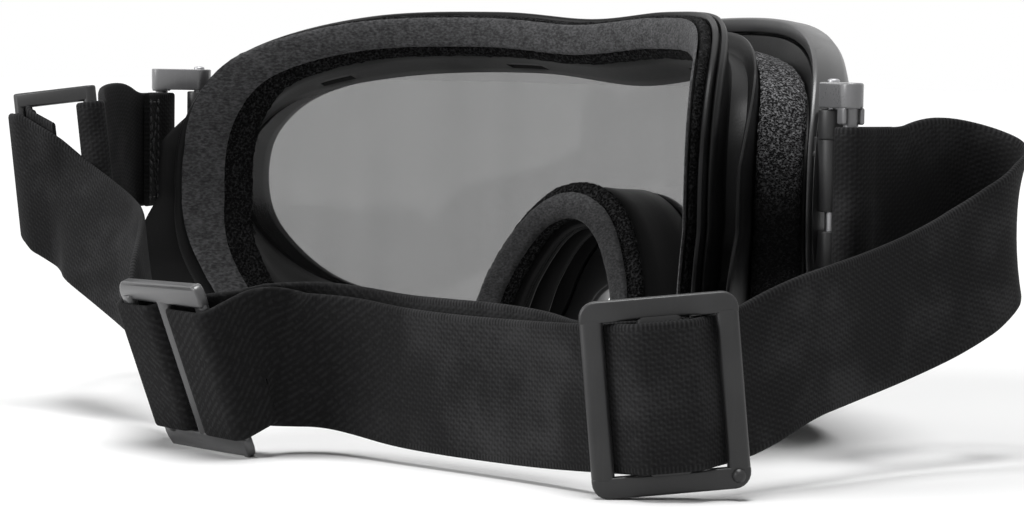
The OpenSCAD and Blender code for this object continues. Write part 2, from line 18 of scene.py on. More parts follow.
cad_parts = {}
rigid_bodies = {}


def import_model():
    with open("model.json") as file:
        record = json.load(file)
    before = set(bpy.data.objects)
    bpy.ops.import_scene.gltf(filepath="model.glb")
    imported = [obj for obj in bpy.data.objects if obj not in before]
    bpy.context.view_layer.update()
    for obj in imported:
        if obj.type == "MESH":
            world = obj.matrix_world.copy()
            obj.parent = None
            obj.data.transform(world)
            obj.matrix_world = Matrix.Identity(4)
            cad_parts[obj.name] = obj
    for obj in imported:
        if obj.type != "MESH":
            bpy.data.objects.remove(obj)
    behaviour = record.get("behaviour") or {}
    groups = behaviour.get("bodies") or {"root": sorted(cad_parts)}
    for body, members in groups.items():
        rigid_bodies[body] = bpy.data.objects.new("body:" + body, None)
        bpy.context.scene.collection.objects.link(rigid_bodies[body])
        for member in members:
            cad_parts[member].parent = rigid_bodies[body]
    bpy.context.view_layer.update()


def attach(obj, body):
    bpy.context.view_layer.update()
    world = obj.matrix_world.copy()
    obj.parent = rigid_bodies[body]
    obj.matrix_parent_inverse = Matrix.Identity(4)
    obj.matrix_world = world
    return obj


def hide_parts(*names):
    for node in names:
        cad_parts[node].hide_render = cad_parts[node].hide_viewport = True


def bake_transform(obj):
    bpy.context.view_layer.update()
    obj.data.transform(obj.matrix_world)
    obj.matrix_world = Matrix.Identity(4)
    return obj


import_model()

log = logging.getLogger("goggles")

Piece = bpy.types.Object
Socket = bpy.types.NodeSocket
Axes = tuple[int, int, int]
Faces = Sequence[tuple[int, ...]]
Place = Sequence[float]
Places = Sequence[Place]
Spot = tuple[float, float, float]

MM = 0.001
# From the middle plane of the goggles to the part's origin
FRAME_SHIFT = np.array([9.5, -54.2, 0.0])
# How far the frame is lowered, so that its feet end flat
FOOT_SINK = 0.6
# Room between two pieces that lie on each other
SEAT = 0.3
# Number of stations of the CAD outline
CAD_STATIONS = 84
# Where the soft frame's front end lies, from the lens's inner surface
BODY_LIFT = -1.6
# Thickness of the soft frame's wall
WALL_T = 2.2
# Depth at which the hard front begins to cover the soft frame
SKIRT_START = 0.93
# Distance from the middle plane beyond which the hard front runs along the temple
TEMPLE_X = 70.0
# Width of the straps, and of the opening of the buckles that hold them
STRAP_W = 27.0
BUCKLE_WINDOW = 27.6
# Radius of the bars of the clips and of the ring
BAR_R = 1.5
# Radius of a clip's hinge pin, and of the ears that hold it
PIN_R = 1.25
EYE_R = PIN_R + 1.6
# Widening of a strap's round stretches, which smoothing draws in again
SMOOTHED = 1.02
# Sharpest angle that stays smooth on the padding, in degrees
PAD_SMOOTH = 70.0
# Rings of a rod's domed end, as shares of its radius and of the dome's height
DOME = ((.3, 1), (.65, .8), (.9, .45))


class Body(Enum):
    """Bodies of the part that the pieces ride on."""

    GOGGLES = "goggles"
    RIGHT_CLIP = "right_clip"
    LEFT_CLIP = "left_clip"
    RING = "ring"
    LINK = "link"
    ADJUSTER = "adjuster"


class Side(Enum):
    """The wearer's sides. The value mirrors a shape that is drawn for the left temple."""

    LEFT = 1
    RIGHT = -1


def placed(points: np.ndarray, sink: float = 0.0) -> np.ndarray:
    """Moves places into the part's frame.

    They are in millimetres from the middle plane of the goggles, and are lowered by sink. The
    result is in metres.
    """
    return (np.asarray(points, float) + FRAME_SHIFT - [0.0, 0.0, sink]) * MM


def cos_sin(angle: float) -> tuple[float, float]:
    """Cosine and sine of an angle in degrees."""
    return math.cos(math.radians(angle)), math.sin(math.radians(angle))


def mix(a: np.ndarray, b: np.ndarray, share: float) -> np.ndarray:
    """Goes a share of the way from a to b."""
    return a + (b - a) * share


def linked(name: str, data: bpy.types.ID) -> Piece:
    """Makes an object of the data and links it to the scene."""
    obj = bpy.data.objects.new(name, data)
    bpy.context.scene.collection.objects.link(obj)
    return obj


def make_object(name: str, points: np.ndarray, faces: Faces) -> Piece:
    """Makes an object of places in metres, its faces turned outward as a whole."""
    mesh = bpy.data.meshes.new(name)
    mesh.from_pydata([tuple(map(float, p)) for p in points], [],
                     [tuple(map(int, f)) for f in faces])
    mesh.validate()
    mesh.update()
    volume = sum(
        mesh.vertices[f.vertices[0]].co.dot(
            mesh.vertices[f.vertices[i]].co.cross(mesh.vertices[f.vertices[i + 1]].co))
        for f in mesh.polygons for i in range(1, len(f.vertices) - 1))
    if volume < 0:
        mesh.flip_normals()
    return linked(name, mesh)


def quads(rows: int, columns: int, *, wrap: bool = False, open_rows: bool = False,
          flip: bool = False) -> Faces:
    """Faces between the points of a grid that are numbered row by row.

    wrap joins the last row to the first one, open_rows leaves each row's ends apart, and flip
    turns the faces over.
    """
    faces = []
    for k in range(rows if wrap else rows - 1):
        n = (k + 1) % rows
        for i in range(columns - open_rows):
            j = (i + 1) % columns
            a, b, c, d = k * columns + i, n * columns + i, n * columns + j, k * columns + j
            faces.append((a, d, c, b) if flip else (a, b, c, d))
    return faces


def bake_modifiers(obj: Piece) -> None:
    """Turns the object with its modifiers into a plain mesh."""
    graph = bpy.context.evaluated_depsgraph_get()
    mesh = bpy.data.meshes.new_from_object(obj.evaluated_get(graph))
    obj.modifiers.clear()
    obj.data = mesh


def smooth(obj: Piece, angle: float = 38.0) -> None:
    """Shades the mesh smooth apart from edges sharper than the angle in degrees."""
    obj.data.shade_smooth()
    obj.data.set_sharp_from_angle(angle=math.radians(angle))


def round_edges(obj: Piece, width: float, segments: int = 3, angle: float = 32.0) -> None:
    """Rounds the edges sharper than the angle in degrees and makes the piece a plain mesh.

    The width of the rounding is in millimetres, and segments is the number of faces across it.
    """
    bevel = obj.modifiers.new("rounding", "BEVEL")
    bevel.width = width * MM
    bevel.segments = segments
    bevel.limit_method = "ANGLE"
    bevel.angle_limit = math.radians(angle)
    bake_modifiers(obj)
    smooth(obj)


# Shader maths and graphs


class Value:
    """A number socket of a shader that takes part in plain arithmetic."""

    def __init__(self, graph: "Graph", socket: Socket) -> None:
        """Keeps the socket and the graph it belongs to."""
        self.graph = graph
        self.socket = socket

    def math(self, operation: str, *values: "Value | float") -> "Value":
        """Adds a Math node with those inputs and gives its result."""
        node = self.graph.add("ShaderNodeMath", {"operation": operation}, dict(enumerate(values)))
        return Value(self.graph, node.outputs[0])

    def __add__(self, other: "Value | float") -> "Value":
        """Adds."""
        return self.math("ADD", self, other)

    def __radd__(self, other: float) -> "Value":
        """Adds to a number."""
        return self.math("ADD", other, self)

    def __sub__(self, other: "Value | float") -> "Value":
        """Subtracts."""
        return self.math("SUBTRACT", self, other)

    def __rsub__(self, other: float) -> "Value":
        """Subtracts from a number."""
        return self.math("SUBTRACT", other, self)

    def __mul__(self, other: "Value | float") -> "Value":
        """Multiplies."""
        return self.math("MULTIPLY", self, other)

    def wave(self, pitch: float) -> "Value":
        """A wave from 0 to 1 that repeats every pitch metres."""
        return self.math("SINE", self * (2 * math.pi / pitch)) * 0.5 + 0.5

    def step(self, low: float, high: float) -> "Value":
        """Rises smoothly from 0 at low to 1 at high."""
        node = self.graph.add("ShaderNodeMapRange", {"interpolation_type": "SMOOTHSTEP"},
                              {"Value": self, "From Min": low, "From Max": high})
        return Value(self.graph, node.outputs["Result"])


class NodeMaker:
    """Fills a node tree."""

    def __init__(self, tree: bpy.types.NodeTree) -> None:
        """Starts with the tree empty."""
        self.tree = tree
        tree.nodes.clear()

    def add(self, kind: str, settings: dict | None = None, inputs: dict | None = None
            ) -> bpy.types.Node:
        """Adds a node with its settings and then its inputs, which go by name or number."""
        node = self.tree.nodes.new(kind)
        for key, value in (settings or {}).items():
            setattr(node, key, value)
        for key, value in (inputs or {}).items():
            self.feed(node.inputs[key], value)
        return node

    def feed(self, slot: Socket, value: object) -> None:
        """Links a socket or a Value to an input, or sets the input to a constant."""
        if isinstance(value, Value):
            value = value.socket
        if isinstance(value, Socket):
            self.tree.links.new(value, slot)
        else:
            slot.default_value = value


class Graph(NodeMaker):
    """Node graph of one material round a Principled shader."""

    def __init__(self, name: str) -> None:
        """Makes an empty material of that name with its shader and output."""
        self.material = bpy.data.materials.new(name)
        self.material.use_nodes = True
        super().__init__(self.material.node_tree)
        self.shader = self.add("ShaderNodeBsdfPrincipled")
        self.add("ShaderNodeOutputMaterial", inputs={"Surface": self.shader.outputs["BSDF"]})

    def finish(self, **inputs: object) -> bpy.types.Material:
        """Feeds the shader, with underscores for the spaces in its inputs' names."""
        for key, value in inputs.items():
            self.feed(self.shader.inputs[key.replace("_", " ")], value)
        return self.material

    def place(self) -> Socket:
        """Object coordinates of the surface in metres."""
        return self.add("ShaderNodeTexCoord").outputs["Object"]

    def axes(self) -> list[Value]:
        """Object coordinates as three numbers."""
        split = self.add("ShaderNodeSeparateXYZ", inputs={0: self.place()})
        return [Value(self, socket) for socket in split.outputs]

    def strap_place(self) -> tuple[Value, Value]:
        """Metres along and across a strap, from its own UV map."""
        uv = self.add("ShaderNodeUVMap", {"uv_map": "strap"}).outputs["UV"]
        split = self.add("ShaderNodeSeparateXYZ", inputs={0: uv})
        return Value(self, split.outputs[0]), Value(self, split.outputs[1])

    def stretched(self, scale: Spot) -> Socket:
        """Object coordinates multiplied by a scale for each axis."""
        node = self.add("ShaderNodeVectorMath", {"operation": "MULTIPLY"},
                        {0: self.place(), 1: scale})
        return node.outputs[0]

    def noise(self, scale: float, detail: float = 2.0, where: Socket | None = None) -> Value:
        """Soft noise from 0 to 1 with that many spots in a metre."""
        node = self.add("ShaderNodeTexNoise", inputs={
            "Vector": where or self.place(), "Scale": scale, "Detail": detail})
        return Value(self, node.outputs["Fac"])

    def cells(self, scale: float) -> Value:
        """Distances in a pattern of cells with that many cells in a metre."""
        node = self.add("ShaderNodeTexVoronoi", inputs={"Vector": self.place(), "Scale": scale})
        return Value(self, node.outputs["Distance"])

    def blend(self, factor: Value, dark: tuple, light: tuple) -> Socket:
        """Mixes two grey or coloured tones."""
        node = self.add("ShaderNodeMix", {"data_type": "RGBA"},
                        {0: factor, 6: (*dark, 1.0), 7: (*light, 1.0)})
        return node.outputs[2]

    def bump(self, height: Value, distance: float, strength: float = 1.0) -> Socket:
        """Bump of that many millimetres at full height."""
        node = self.add("ShaderNodeBump", inputs={
            "Strength": strength, "Distance": distance * MM, "Height": height})
        return node.outputs["Normal"]


def grey(tone: float) -> Spot:
    """A very slightly cool grey of that linear tone."""
    return (tone, tone, tone * 1.03)


@dataclass(frozen=True)
class Finish:
    """A surface finish. Each kind of finish says how it is painted."""

    name: str
    slot: str
    made: ClassVar[dict[str, bpy.types.Material]] = {}

    def paint(self, g: Graph) -> bpy.types.Material:
        """Paints the material of the graph."""
        raise NotImplementedError

    def material(self) -> bpy.types.Material:
        """The finish's material, made the first time it is asked for."""
        if self.name not in self.made:
            self.made[self.name] = self.paint(Graph(self.name))
        return self.made[self.name]

    def dress(self, obj: Piece) -> None:
        """Gives the object this finish alone."""
        obj.data.materials.clear()
        obj.data.materials.append(self.material())
        for face in obj.data.polygons:
            face.material_index = 0


@dataclass(frozen=True)
class MouldedFinish(Finish):
    """Moulded plastic or rubber with a fine grain, handling marks and faint dust."""

    tone: float = 0.02
    dusty: float = 0.045
    roughness: float = 0.55
    grain: float = 0.03
    coat: float = 0.0
    gloss: float = 0.25

    def paint(self, g: Graph) -> bpy.types.Material:
        """Paints the material of the graph."""
        patches = g.noise(55.0, 4.0).step(0.42, 0.75)
        fine = g.noise(1900.0, 3.0)
        streaks = g.noise(1.0, 3.0, g.stretched((900.0, 900.0, 70.0))).step(0.55, 0.8)
        worn = patches * 0.55 + streaks * 0.2 + fine * 0.25
        return g.finish(
            Base_Color=g.blend(worn, grey(self.tone), grey(self.dusty)),
            Roughness=self.roughness + patches * 0.1 + fine * 0.08 - 0.06,
            Coat_Weight=self.coat, Coat_Roughness=0.25, Specular_IOR_Level=self.gloss,
            Normal=g.bump(fine + patches * 0.6, self.grain, 0.7))


@dataclass(frozen=True)
class FoamFinish(Finish):
    """Open-cell foam: dark pits between paler struts, darkened towards the bottom by painted shade.
    """

    pit: float = 0.003
    strut: float = 0.04
    cell: float = 0.62
    depth: float = 0.35
    # Share of the strut tone left at the lowest places: painted shade towards the bottom
    low_shade: float = 1.0

    def paint(self, g: Graph) -> bpy.types.Material:
        """Paints the material of the graph."""
        pores = g.cells(1 / (self.cell * MM)).step(0.18, 0.62)
        specks = g.noise(1700.0, 3.0).step(0.35, 0.72)
        shade = g.noise(120.0, 3.0) * 0.5 + 0.5
        # Painted shade: the struts darken from the top of the foam down to its lowest places
        height = g.axes()[2]
        painted_shade = self.low_shade + height.step(0.046, 0.08) * (1.0 - self.low_shade)
        struts = pores * specks * shade * painted_shade
        return g.finish(
            Base_Color=g.blend(struts, grey(self.pit), grey(self.strut)),
            Roughness=0.92 - struts * 0.1, Specular_IOR_Level=0.05,
            Normal=g.bump(pores * 0.6 + specks * 0.4, self.depth, 1.0))


@dataclass(frozen=True)
class FleeceFinish(Finish):
    """Short brushed pile laminated on the foam, darkened at the nose bridge by painted shade."""

    tone: float = 0.01
    tip: float = 0.125
    # Share of the pile's tone left at the nose bridge: painted shade
    nose_shade: float = 0.35

    def paint(self, g: Graph) -> bpy.types.Material:
        """Paints the material of the graph."""
        pile = g.noise(1.0, 4.0, g.stretched((1500.0, 900.0, 2300.0)))
        tufts = g.noise(420.0, 3.0)
        # Painted shade: the pile is darkened low at the nose bridge, near the middle plane
        across, _, height = g.axes()
        aside = across - FRAME_SHIFT[0] * MM
        clear = 1.0 - (1.0 - aside.math("ABSOLUTE", aside).step(0.018, 0.03)) * (
            1.0 - height.step(0.04, 0.052))
        painted_shade = self.nose_shade + clear * (1.0 - self.nose_shade)
        tips = ((pile * 0.7 + tufts * 0.3).step(0.3, 0.78) * 0.8 + 0.2) * painted_shade
        return g.finish(
            Base_Color=g.blend(tips, grey(self.tone), grey(self.tip)),
            Roughness=0.95 - tips * 0.08, Specular_IOR_Level=0.05,
            Sheen_Weight=0.06, Sheen_Roughness=0.5,
            Normal=g.bump(pile + tufts * 0.8, 0.18, 1.0))


@dataclass(frozen=True)
class WebbingFinish(Finish):
    """Elastic webbing: a fine twill with a flat selvedge along both edges, and painted shade with a
    coarser twill near the fold at the link slider.
    """

    tone: float = 0.014
    raised: float = 0.036
    pitch: float = 1.25
    # Span along the part's first axis, in metres, where the strap is darkened by painted shade at
    # the link fold
    fold_shade_span: tuple[float, float] = (-0.05, -0.018)

    def paint(self, g: Graph) -> bpy.types.Material:
        """Paints the material of the graph."""
        along, across = g.strap_place()
        twill = (along * 0.8 + across).wave(self.pitch * MM)
        ribs = across.wave(0.9 * MM)
        picks = along.wave(0.75 * MM)
        fibres = g.noise(2600.0, 2.0)
        selvedge = across.math("ABSOLUTE", across).step(
            (STRAP_W / 2 - 1.4) * MM, (STRAP_W / 2 - 1.1) * MM)
        weave = twill * 0.45 + ribs * 0.3 + picks * 0.25
        height = weave * (1.0 - selvedge) + picks * selvedge
        wear = g.noise(70.0, 4.0).step(0.4, 0.8)
        # Painted shade: the strap is darkened along the stretch near the link fold, with a coarser
        # twill there
        middle = g.axes()[0]
        fold_painted_shade = middle.step(*self.fold_shade_span) * (1.0 - middle.step(0.012, 0.02))
        coarse = (along * 0.8 - across).wave(self.pitch * 1.3 * MM)
        coarse = coarse * g.noise(900.0, 3.0).step(0.35, 0.6) * fold_painted_shade
        shade = (height * 0.3 + fibres * 0.4 + wear * 0.3).step(0.2, 0.9)
        shade = shade * (1.0 - fold_painted_shade * 0.85) + coarse * 0.3
        return g.finish(
            Base_Color=g.blend(shade, grey(self.tone * 0.6), grey(self.raised)),
            Roughness=0.84 - shade * 0.12, Specular_IOR_Level=0.1,
            Normal=g.bump(height * 0.6 + fibres * 0.3 + coarse * 1.5, 0.08, 0.7))


@dataclass(frozen=True)
class LensFinish(Finish):
    """Smoke-grey pane: dark tinted plastic that lets part of the light through."""

    tone: float = 0.05
    cover: float = 0.54

    def paint(self, g: Graph) -> bpy.types.Material:
        """Paints the material of the graph."""
        film = g.noise(1.0, 2.0, g.stretched((160.0, 160.0, 9.0)))
        smears = g.noise(38.0, 4.0).step(0.4, 0.85)
        return g.finish(
            Base_Color=g.blend(smears, grey(self.tone), grey(self.tone * 1.5)),
            Roughness=0.07 + smears * 0.1,
            Alpha=self.cover + film * 0.04 - 0.02 + smears * 0.02)


@dataclass(frozen=True)
class SteelFinish(Finish):
    """Drawn steel rod with fine rings round it."""

    tone: float = 0.42

    def paint(self, g: Graph) -> bpy.types.Material:
        """Paints the material of the graph."""
        lines = g.noise(1.0, 3.0, g.stretched((300.0, 300.0, 5200.0)))
        return g.finish(
            Base_Color=g.blend(lines, grey(self.tone * 0.7), grey(self.tone)),
            Metallic=1.0, Roughness=0.3 + lines * 0.2, Normal=g.bump(lines, 0.02, 0.5))


@dataclass(frozen=True)
class ThreadFinish(Finish):
    """Twisted sewing thread."""

    tone: float = 0.03

    def paint(self, g: Graph) -> bpy.types.Material:
        """Paints the material of the graph."""
        plies = g.noise(3500.0, 2.0)
        return g.finish(
            Base_Color=g.blend(plies, grey(self.tone * 0.6), grey(self.tone * 1.9)),
            Roughness=0.7 + plies * 0.15, Normal=g.bump(plies, 0.06, 0.8))


FRONT_PLASTIC = MouldedFinish("hard_front_plastic", "hard_plastic", tone=0.02, dusty=0.034,
                              roughness=0.36, grain=0.012, coat=0.2, gloss=0.5)
FRAME_RUBBER = MouldedFinish("soft_frame_rubber", "soft_frame", tone=0.005, dusty=0.017,
                             roughness=0.42, grain=0.03, gloss=0.12)
GASKET_RUBBER = MouldedFinish("gasket_rubber", "soft_frame", tone=0.006, dusty=0.012,
                              roughness=0.7, grain=0.02, gloss=0.1)
BUCKLE_PLASTIC = MouldedFinish("buckle_plastic", "buckle_plastic", tone=0.015, dusty=0.034,
                               roughness=0.38, grain=0.02, gloss=0.4)
# Plastic of the link slider: the buckle plastic with its tone raised as painted light from above
LINK_PLASTIC_PAINTED_LIGHT = MouldedFinish("link_plastic", "buckle_plastic", tone=0.05, dusty=0.09,
                             roughness=0.34, grain=0.015, coat=0.4, gloss=0.45)
# Plastic of the strap brackets: the buckle plastic with its tone raised as a painted highlight
CLIP_PLASTIC_PAINTED_HIGHLIGHT = MouldedFinish("clip_plastic", "buckle_plastic", tone=0.14, dusty=0.22,
                             roughness=0.3, grain=0.015, coat=0.5, gloss=0.5)
SMOKE_LENS = LensFinish("smoke_lens", "smoke_lens")
FACE_FOAM = FoamFinish("face_foam_cells", "foam")
# Filter foam with bright struts, darkened towards the bottom by painted shade (low_shade)
VENT_FOAM = FoamFinish("vent_foam_cells", "foam", pit=0.006, strut=0.42,
                       cell=0.46, depth=0.3, low_shade=0.05)
FLEECE = FleeceFinish("brushed_facing", "foam")
WEBBING = WebbingFinish("elastic_webbing", "webbing")
PIN_STEEL = SteelFinish("drawn_steel", "pin_steel")
THREAD = ThreadFinish("sewing_thread", "webbing")


def finished(obj: Piece, finish: Finish, node: str, body: str = Body.GOGGLES.value) -> Piece:
    """Dresses a piece, lets it ride its body and hides the CAD node that it stands for.
    """
    finish.dress(obj)
    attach(obj, body)
    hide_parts(node)
    return obj


# The frame's outline and the pieces swept along it


@dataclass
class GoggleOutline:
    """Outlines of the face flange, the hard front and the lens opening, and places between them."""

    steps: int = 12
    face_half: float = 78.0
    face_h: float = 89.0
    front_half: float = 90.0
    flange_w: float = 9.0
    face_wrap: float = 56.0
    face_power: float = 2.4
    cheek_back: float = 8.0
    cheek_top: float = 45.5
    lens_r: float = 105.0
    bridge_depth: float = 20.0
    brow_start: float = 0.65
    brow_fade: float = 0.12
    flare: float = 1.3
    loops: dict[str, np.ndarray] = field(default_factory=dict)

    def __post_init__(self) -> None:
        """Draws the three outlines."""
        self.loops = {
            "face": self.loop(self.face_half, 0, self.face_h, 1.5, 0.145, 39, 18, 40.5),
            "front": self.loop(self.front_half, 2.5, 88, 2.5, 0.2, 38, 19, 38),
            "window": self.loop(86.2, 17.2, 75, 2.5, 0.13, 33, 24, 48.5)}
        self.count = len(self.loops["face"])
        face = self.loops["face"]
        side, rise = np.abs(face[:, :1]), face[:, 1:] / self.face_h
        brow = 1 - (rise - self.brow_start) / self.brow_fade
        cheek = np.interp(rise, (0.12, 0.22, 0.33, 0.5), (0, 1, 1, 0))
        cheek *= np.interp(side, (40, 60), (0, 1))
        self.temple = np.clip(np.minimum(side / 50, brow), -1, 1) + self.flare * cheek
        self.nose = np.interp(side, (9, 19), (1, 0)) * (rise < 0.6)

    def loop(self, half: float, low: float, high: float, brow: float, chin: float,
             cheek: float, nose_half: float, nose_top: float) -> np.ndarray:
        """Closed outline through control points that are mirrored at the middle.

        Args:
            half: Half its width.
            low: Height of its lowest places, under the cheeks.
            high: Height of its top.
            brow: Dip of the top at the middle.
            chin: Share of the height at which the cheek's outer corner turns.
            cheek: Distance of the cheek's lowest place from the middle.
            nose_half: Half the width of the nose bridge.
            nose_top: Height of the nose bridge.

        Returns:
            Rows of x and height, down the wearer's left side and up the right one.
        """
        h, n = high - low, nose_top - low
        half_side = np.array([
            [0, high - brow], [.32 * half, high], [.65 * half, high - .015 * h],
            [.875 * half, high - .1 * h], [.975 * half, high - .25 * h],
            [half, low + .54 * h], [.97 * half, low + (chin + .19) * h],
            [.86 * half, low + chin * h], [.68 * half, low + .45 * chin * h], [cheek, low],
            [nose_half + .35 * (cheek - nose_half), low + .1 * n],
            [.95 * nose_half, low + .38 * n], [.72 * nose_half, low + .68 * n],
            [.38 * nose_half, low + .92 * n], [0, nose_top]])
        flip = np.array([-1, 1])
        guide = np.vstack([half_side[1] * flip, half_side, half_side[-2] * flip])
        rows = []
        for i in range(1, len(guide) - 2):
            a, b, c, d = guide[i - 1:i + 3]
            for s in range(self.steps):
                t = s / self.steps
                rows.append(0.5 * (2 * b + (c - a) * t + (2 * a - 5 * b + 4 * c - d) * t * t
                                   + (3 * b - a - 3 * c + d) * t ** 3))
        rows.append(half_side[-1])
        side = np.array(rows)
        return np.vstack([side, side[-2:0:-1] * flip])

    @staticmethod
    def outward(loop: np.ndarray) -> np.ndarray:
        """Unit directions out of an outline."""
        t = np.roll(loop, -1, 0) - np.roll(loop, 1, 0)
        return np.stack([-t[:, 1], t[:, 0]], 1) / np.linalg.norm(t, axis=1)[:, None]

    def face_y(self, p: np.ndarray) -> np.ndarray:
        """How far back the face is at places of the face flange."""
        return (self.face_wrap * (np.abs(p[:, 0]) / self.face_half) ** self.face_power
                + self.cheek_back * np.maximum(0, 1 - p[:, 1] / self.cheek_top))

    def lens_y(self, x: np.ndarray, lift: float) -> np.ndarray:
        """How far back a surface is that lies lift outside the lens's inner one."""
        return self.lens_r - self.bridge_depth - np.sqrt((self.lens_r + lift) ** 2 - x * x)

    def ring(self, depth: float, band: float, lift: float = 0, spread: float = 0,
             back: float = 0, reach: float = 0, rim: float = 0) -> np.ndarray:
        """Line round the frame.

        Args:
            depth: 0 at the face, 1 at the lens.
            band: 0 at the outline, 1 at the opening.
            lift: Millimetres out of the lens.
            spread: Millimetres out of the outline.
            back: Millimetres towards the wearer.
            reach: Spread that fades at the nose and turns round along the brow.
            rim: Spread at the nose bridge alone.

        Returns:
            Rows of x, y, z in millimetres, one for each station.
        """
        face, front = self.loops["face"], self.loops["front"]
        out = spread + reach * self.temple + rim * self.nose
        a = face - self.outward(face) * (band * self.flange_w - out)
        b = mix(front, self.loops["window"], band) + self.outward(front) * out
        p = np.stack([a[:, 0], self.face_y(a) + back, a[:, 1]], 1)
        q = np.stack([b[:, 0], self.lens_y(b[:, 0], lift) + back, b[:, 1]], 1)
        return mix(p, q, depth)

    def station(self, coarse: int) -> int:
        """Number of the station at one of the stations of the CAD outline."""
        return round(coarse * self.count / CAD_STATIONS) % self.count


@dataclass
class Sweep:
    """A closed section swept along the frame's outline, all round or between two stations."""

    outline: GoggleOutline
    section: Places
    first: int | None = None
    last: int | None = None

    def grid(self) -> np.ndarray:
        """Places as stations by section points by x, y, z, in millimetres, with flat feet."""
        rows = np.stack([self.outline.ring(*s) for s in self.section], 1)
        rows[:, :, 2] = np.maximum(rows[:, :, 2], FOOT_SINK)
        if self.first is None:
            return rows
        return rows[[k % self.outline.count for k in range(self.first, self.last + 1)]]

    def faces(self) -> Faces:
        """Faces of the sweep, with both ends closed unless it runs all round."""
        m = len(self.section)
        if self.first is None:
            return quads(self.outline.count, m, wrap=True)
        total = self.last - self.first + 1
        return [*quads(total, m), tuple(range(m)), tuple(range((total - 1) * m, total * m))[::-1]]

    def build(self, name: str, ruffle: float = 0.0, size: float = 1.0) -> Piece:
        """Makes the piece, its surface uneven by ruffle millimetres in bumps of that size."""
        grid = self.grid()
        points = grid.reshape(-1, 3)
        if ruffle:
            points = points + ruffled(grid, ruffle, size).reshape(-1, 3)
            points[:, 2] = np.maximum(points[:, 2], FOOT_SINK)
        return make_object(name, placed(points, FOOT_SINK), self.faces())


def ruffled(grid: np.ndarray, amount: float, size: float) -> np.ndarray:
    """Shifts away from each section's middle, the same at every run, in bumps of that size."""
    away = grid - grid.mean(1, keepdims=True)
    away /= np.maximum(np.linalg.norm(away, axis=2, keepdims=True), 1e-6)
    heights = [noise.noise(Vector(p) / size) + 0.5 * noise.noise(Vector(p) / (6 * size))
               for p in grid.reshape(-1, 3)]
    return away * (np.array(heights).reshape(*grid.shape[:2], 1) - 0.35) * amount


@dataclass
class FrameShell:
    """Soft frame: double-beaded face flange, second flange, side wall with its air windows."""

    outline: GoggleOutline
    rib_reach: float = 3.6
    rib_start: float = 0.36
    rib_end: float = 0.44
    seat_out: float = 0.3
    vent_low: float = 0.6
    vent_high: float = 0.77
    window_at: tuple[int, int] = (4, 10)
    vents: tuple[tuple[int, int], ...] = ((3, 2), (8, 2), (14, 3), (17, 3), (24, 3))

    def section(self) -> Places:
        """Section points. An air window opens the faces after the two window_at points."""
        low, wall = BODY_LIFT, WALL_T
        return [
            [0, .97], [.06, 1.04], [.3, 1.02, low * .4], [.5, 1, low],
            [self.vent_low, 1, low], [self.vent_high, 1, low],
            [1, 1, low], [1, self.seat_out, low], [SKIRT_START - .01, self.seat_out, low],
            [SKIRT_START - .03, 1, low, wall], [self.vent_high, 1, low, wall],
            [self.vent_low, 1, low, wall], [self.rib_end + .015, 1, low, wall],
            [self.rib_end, .86, low, wall * .7],
            [self.rib_end - .005, .06, low, -.4, 0, self.rib_reach],
            [self.rib_end - .02, .0, low, 0, 0, self.rib_reach],
            [self.rib_start + .04, -.01, low, 0, 0, self.rib_reach],
            [self.rib_start + .02, .05, low, -.2, 0, self.rib_reach],
            [self.rib_start, .84, low, wall], [self.rib_start - .02, 1, low, wall + .4],
            [.19, 1, low, wall + .4], [.155, .9, 0, wall], [.145, .12],
            [.14, .03], [.125, -.02], [.1, -.03], [.085, 0], [.077, .06], [.074, .14],
            [.07, .14], [.066, .06], [.055, 0], [.04, -.03], [.015, -.01], [0, .05], [0, .1]]

    def build(self) -> Piece:
        """Makes the frame with its air windows."""
        sweep = Sweep(self.outline, self.section())
        m, count = len(sweep.section), self.outline.count
        i, o = self.window_at
        open_at: set[int] = set()
        rims: list[tuple[int, ...]] = []
        for coarse, half in self.vents:
            for centre in map(self.outline.station, (coarse, CAD_STATIONS - coarse)):
                low, high = centre - half, centre + half
                open_at.update(k % count for k in range(low, high))
                for k in range(low, high):
                    a, b = (k % count) * m, ((k + 1) % count) * m
                    rims += [(a + i, b + i, b + o + 1, a + o + 1),
                             (b + i + 1, a + i + 1, a + o, b + o)]
                for k, turn in ((low, 1), (high, -1)):
                    a = (k % count) * m
                    rims.append((a + i + 1, a + i, a + o + 1, a + o)[::turn])
        faces = [face for n, face in enumerate(sweep.faces())
                 if n // m not in open_at or n % m not in (i, o)]
        points = placed(sweep.grid().reshape(-1, 3), FOOT_SINK)
        obj = make_object("soft_frame", points, faces + rims)
        round_edges(obj, 0.28, 2)
        return finished(obj, FRAME_RUBBER, "frame_body")


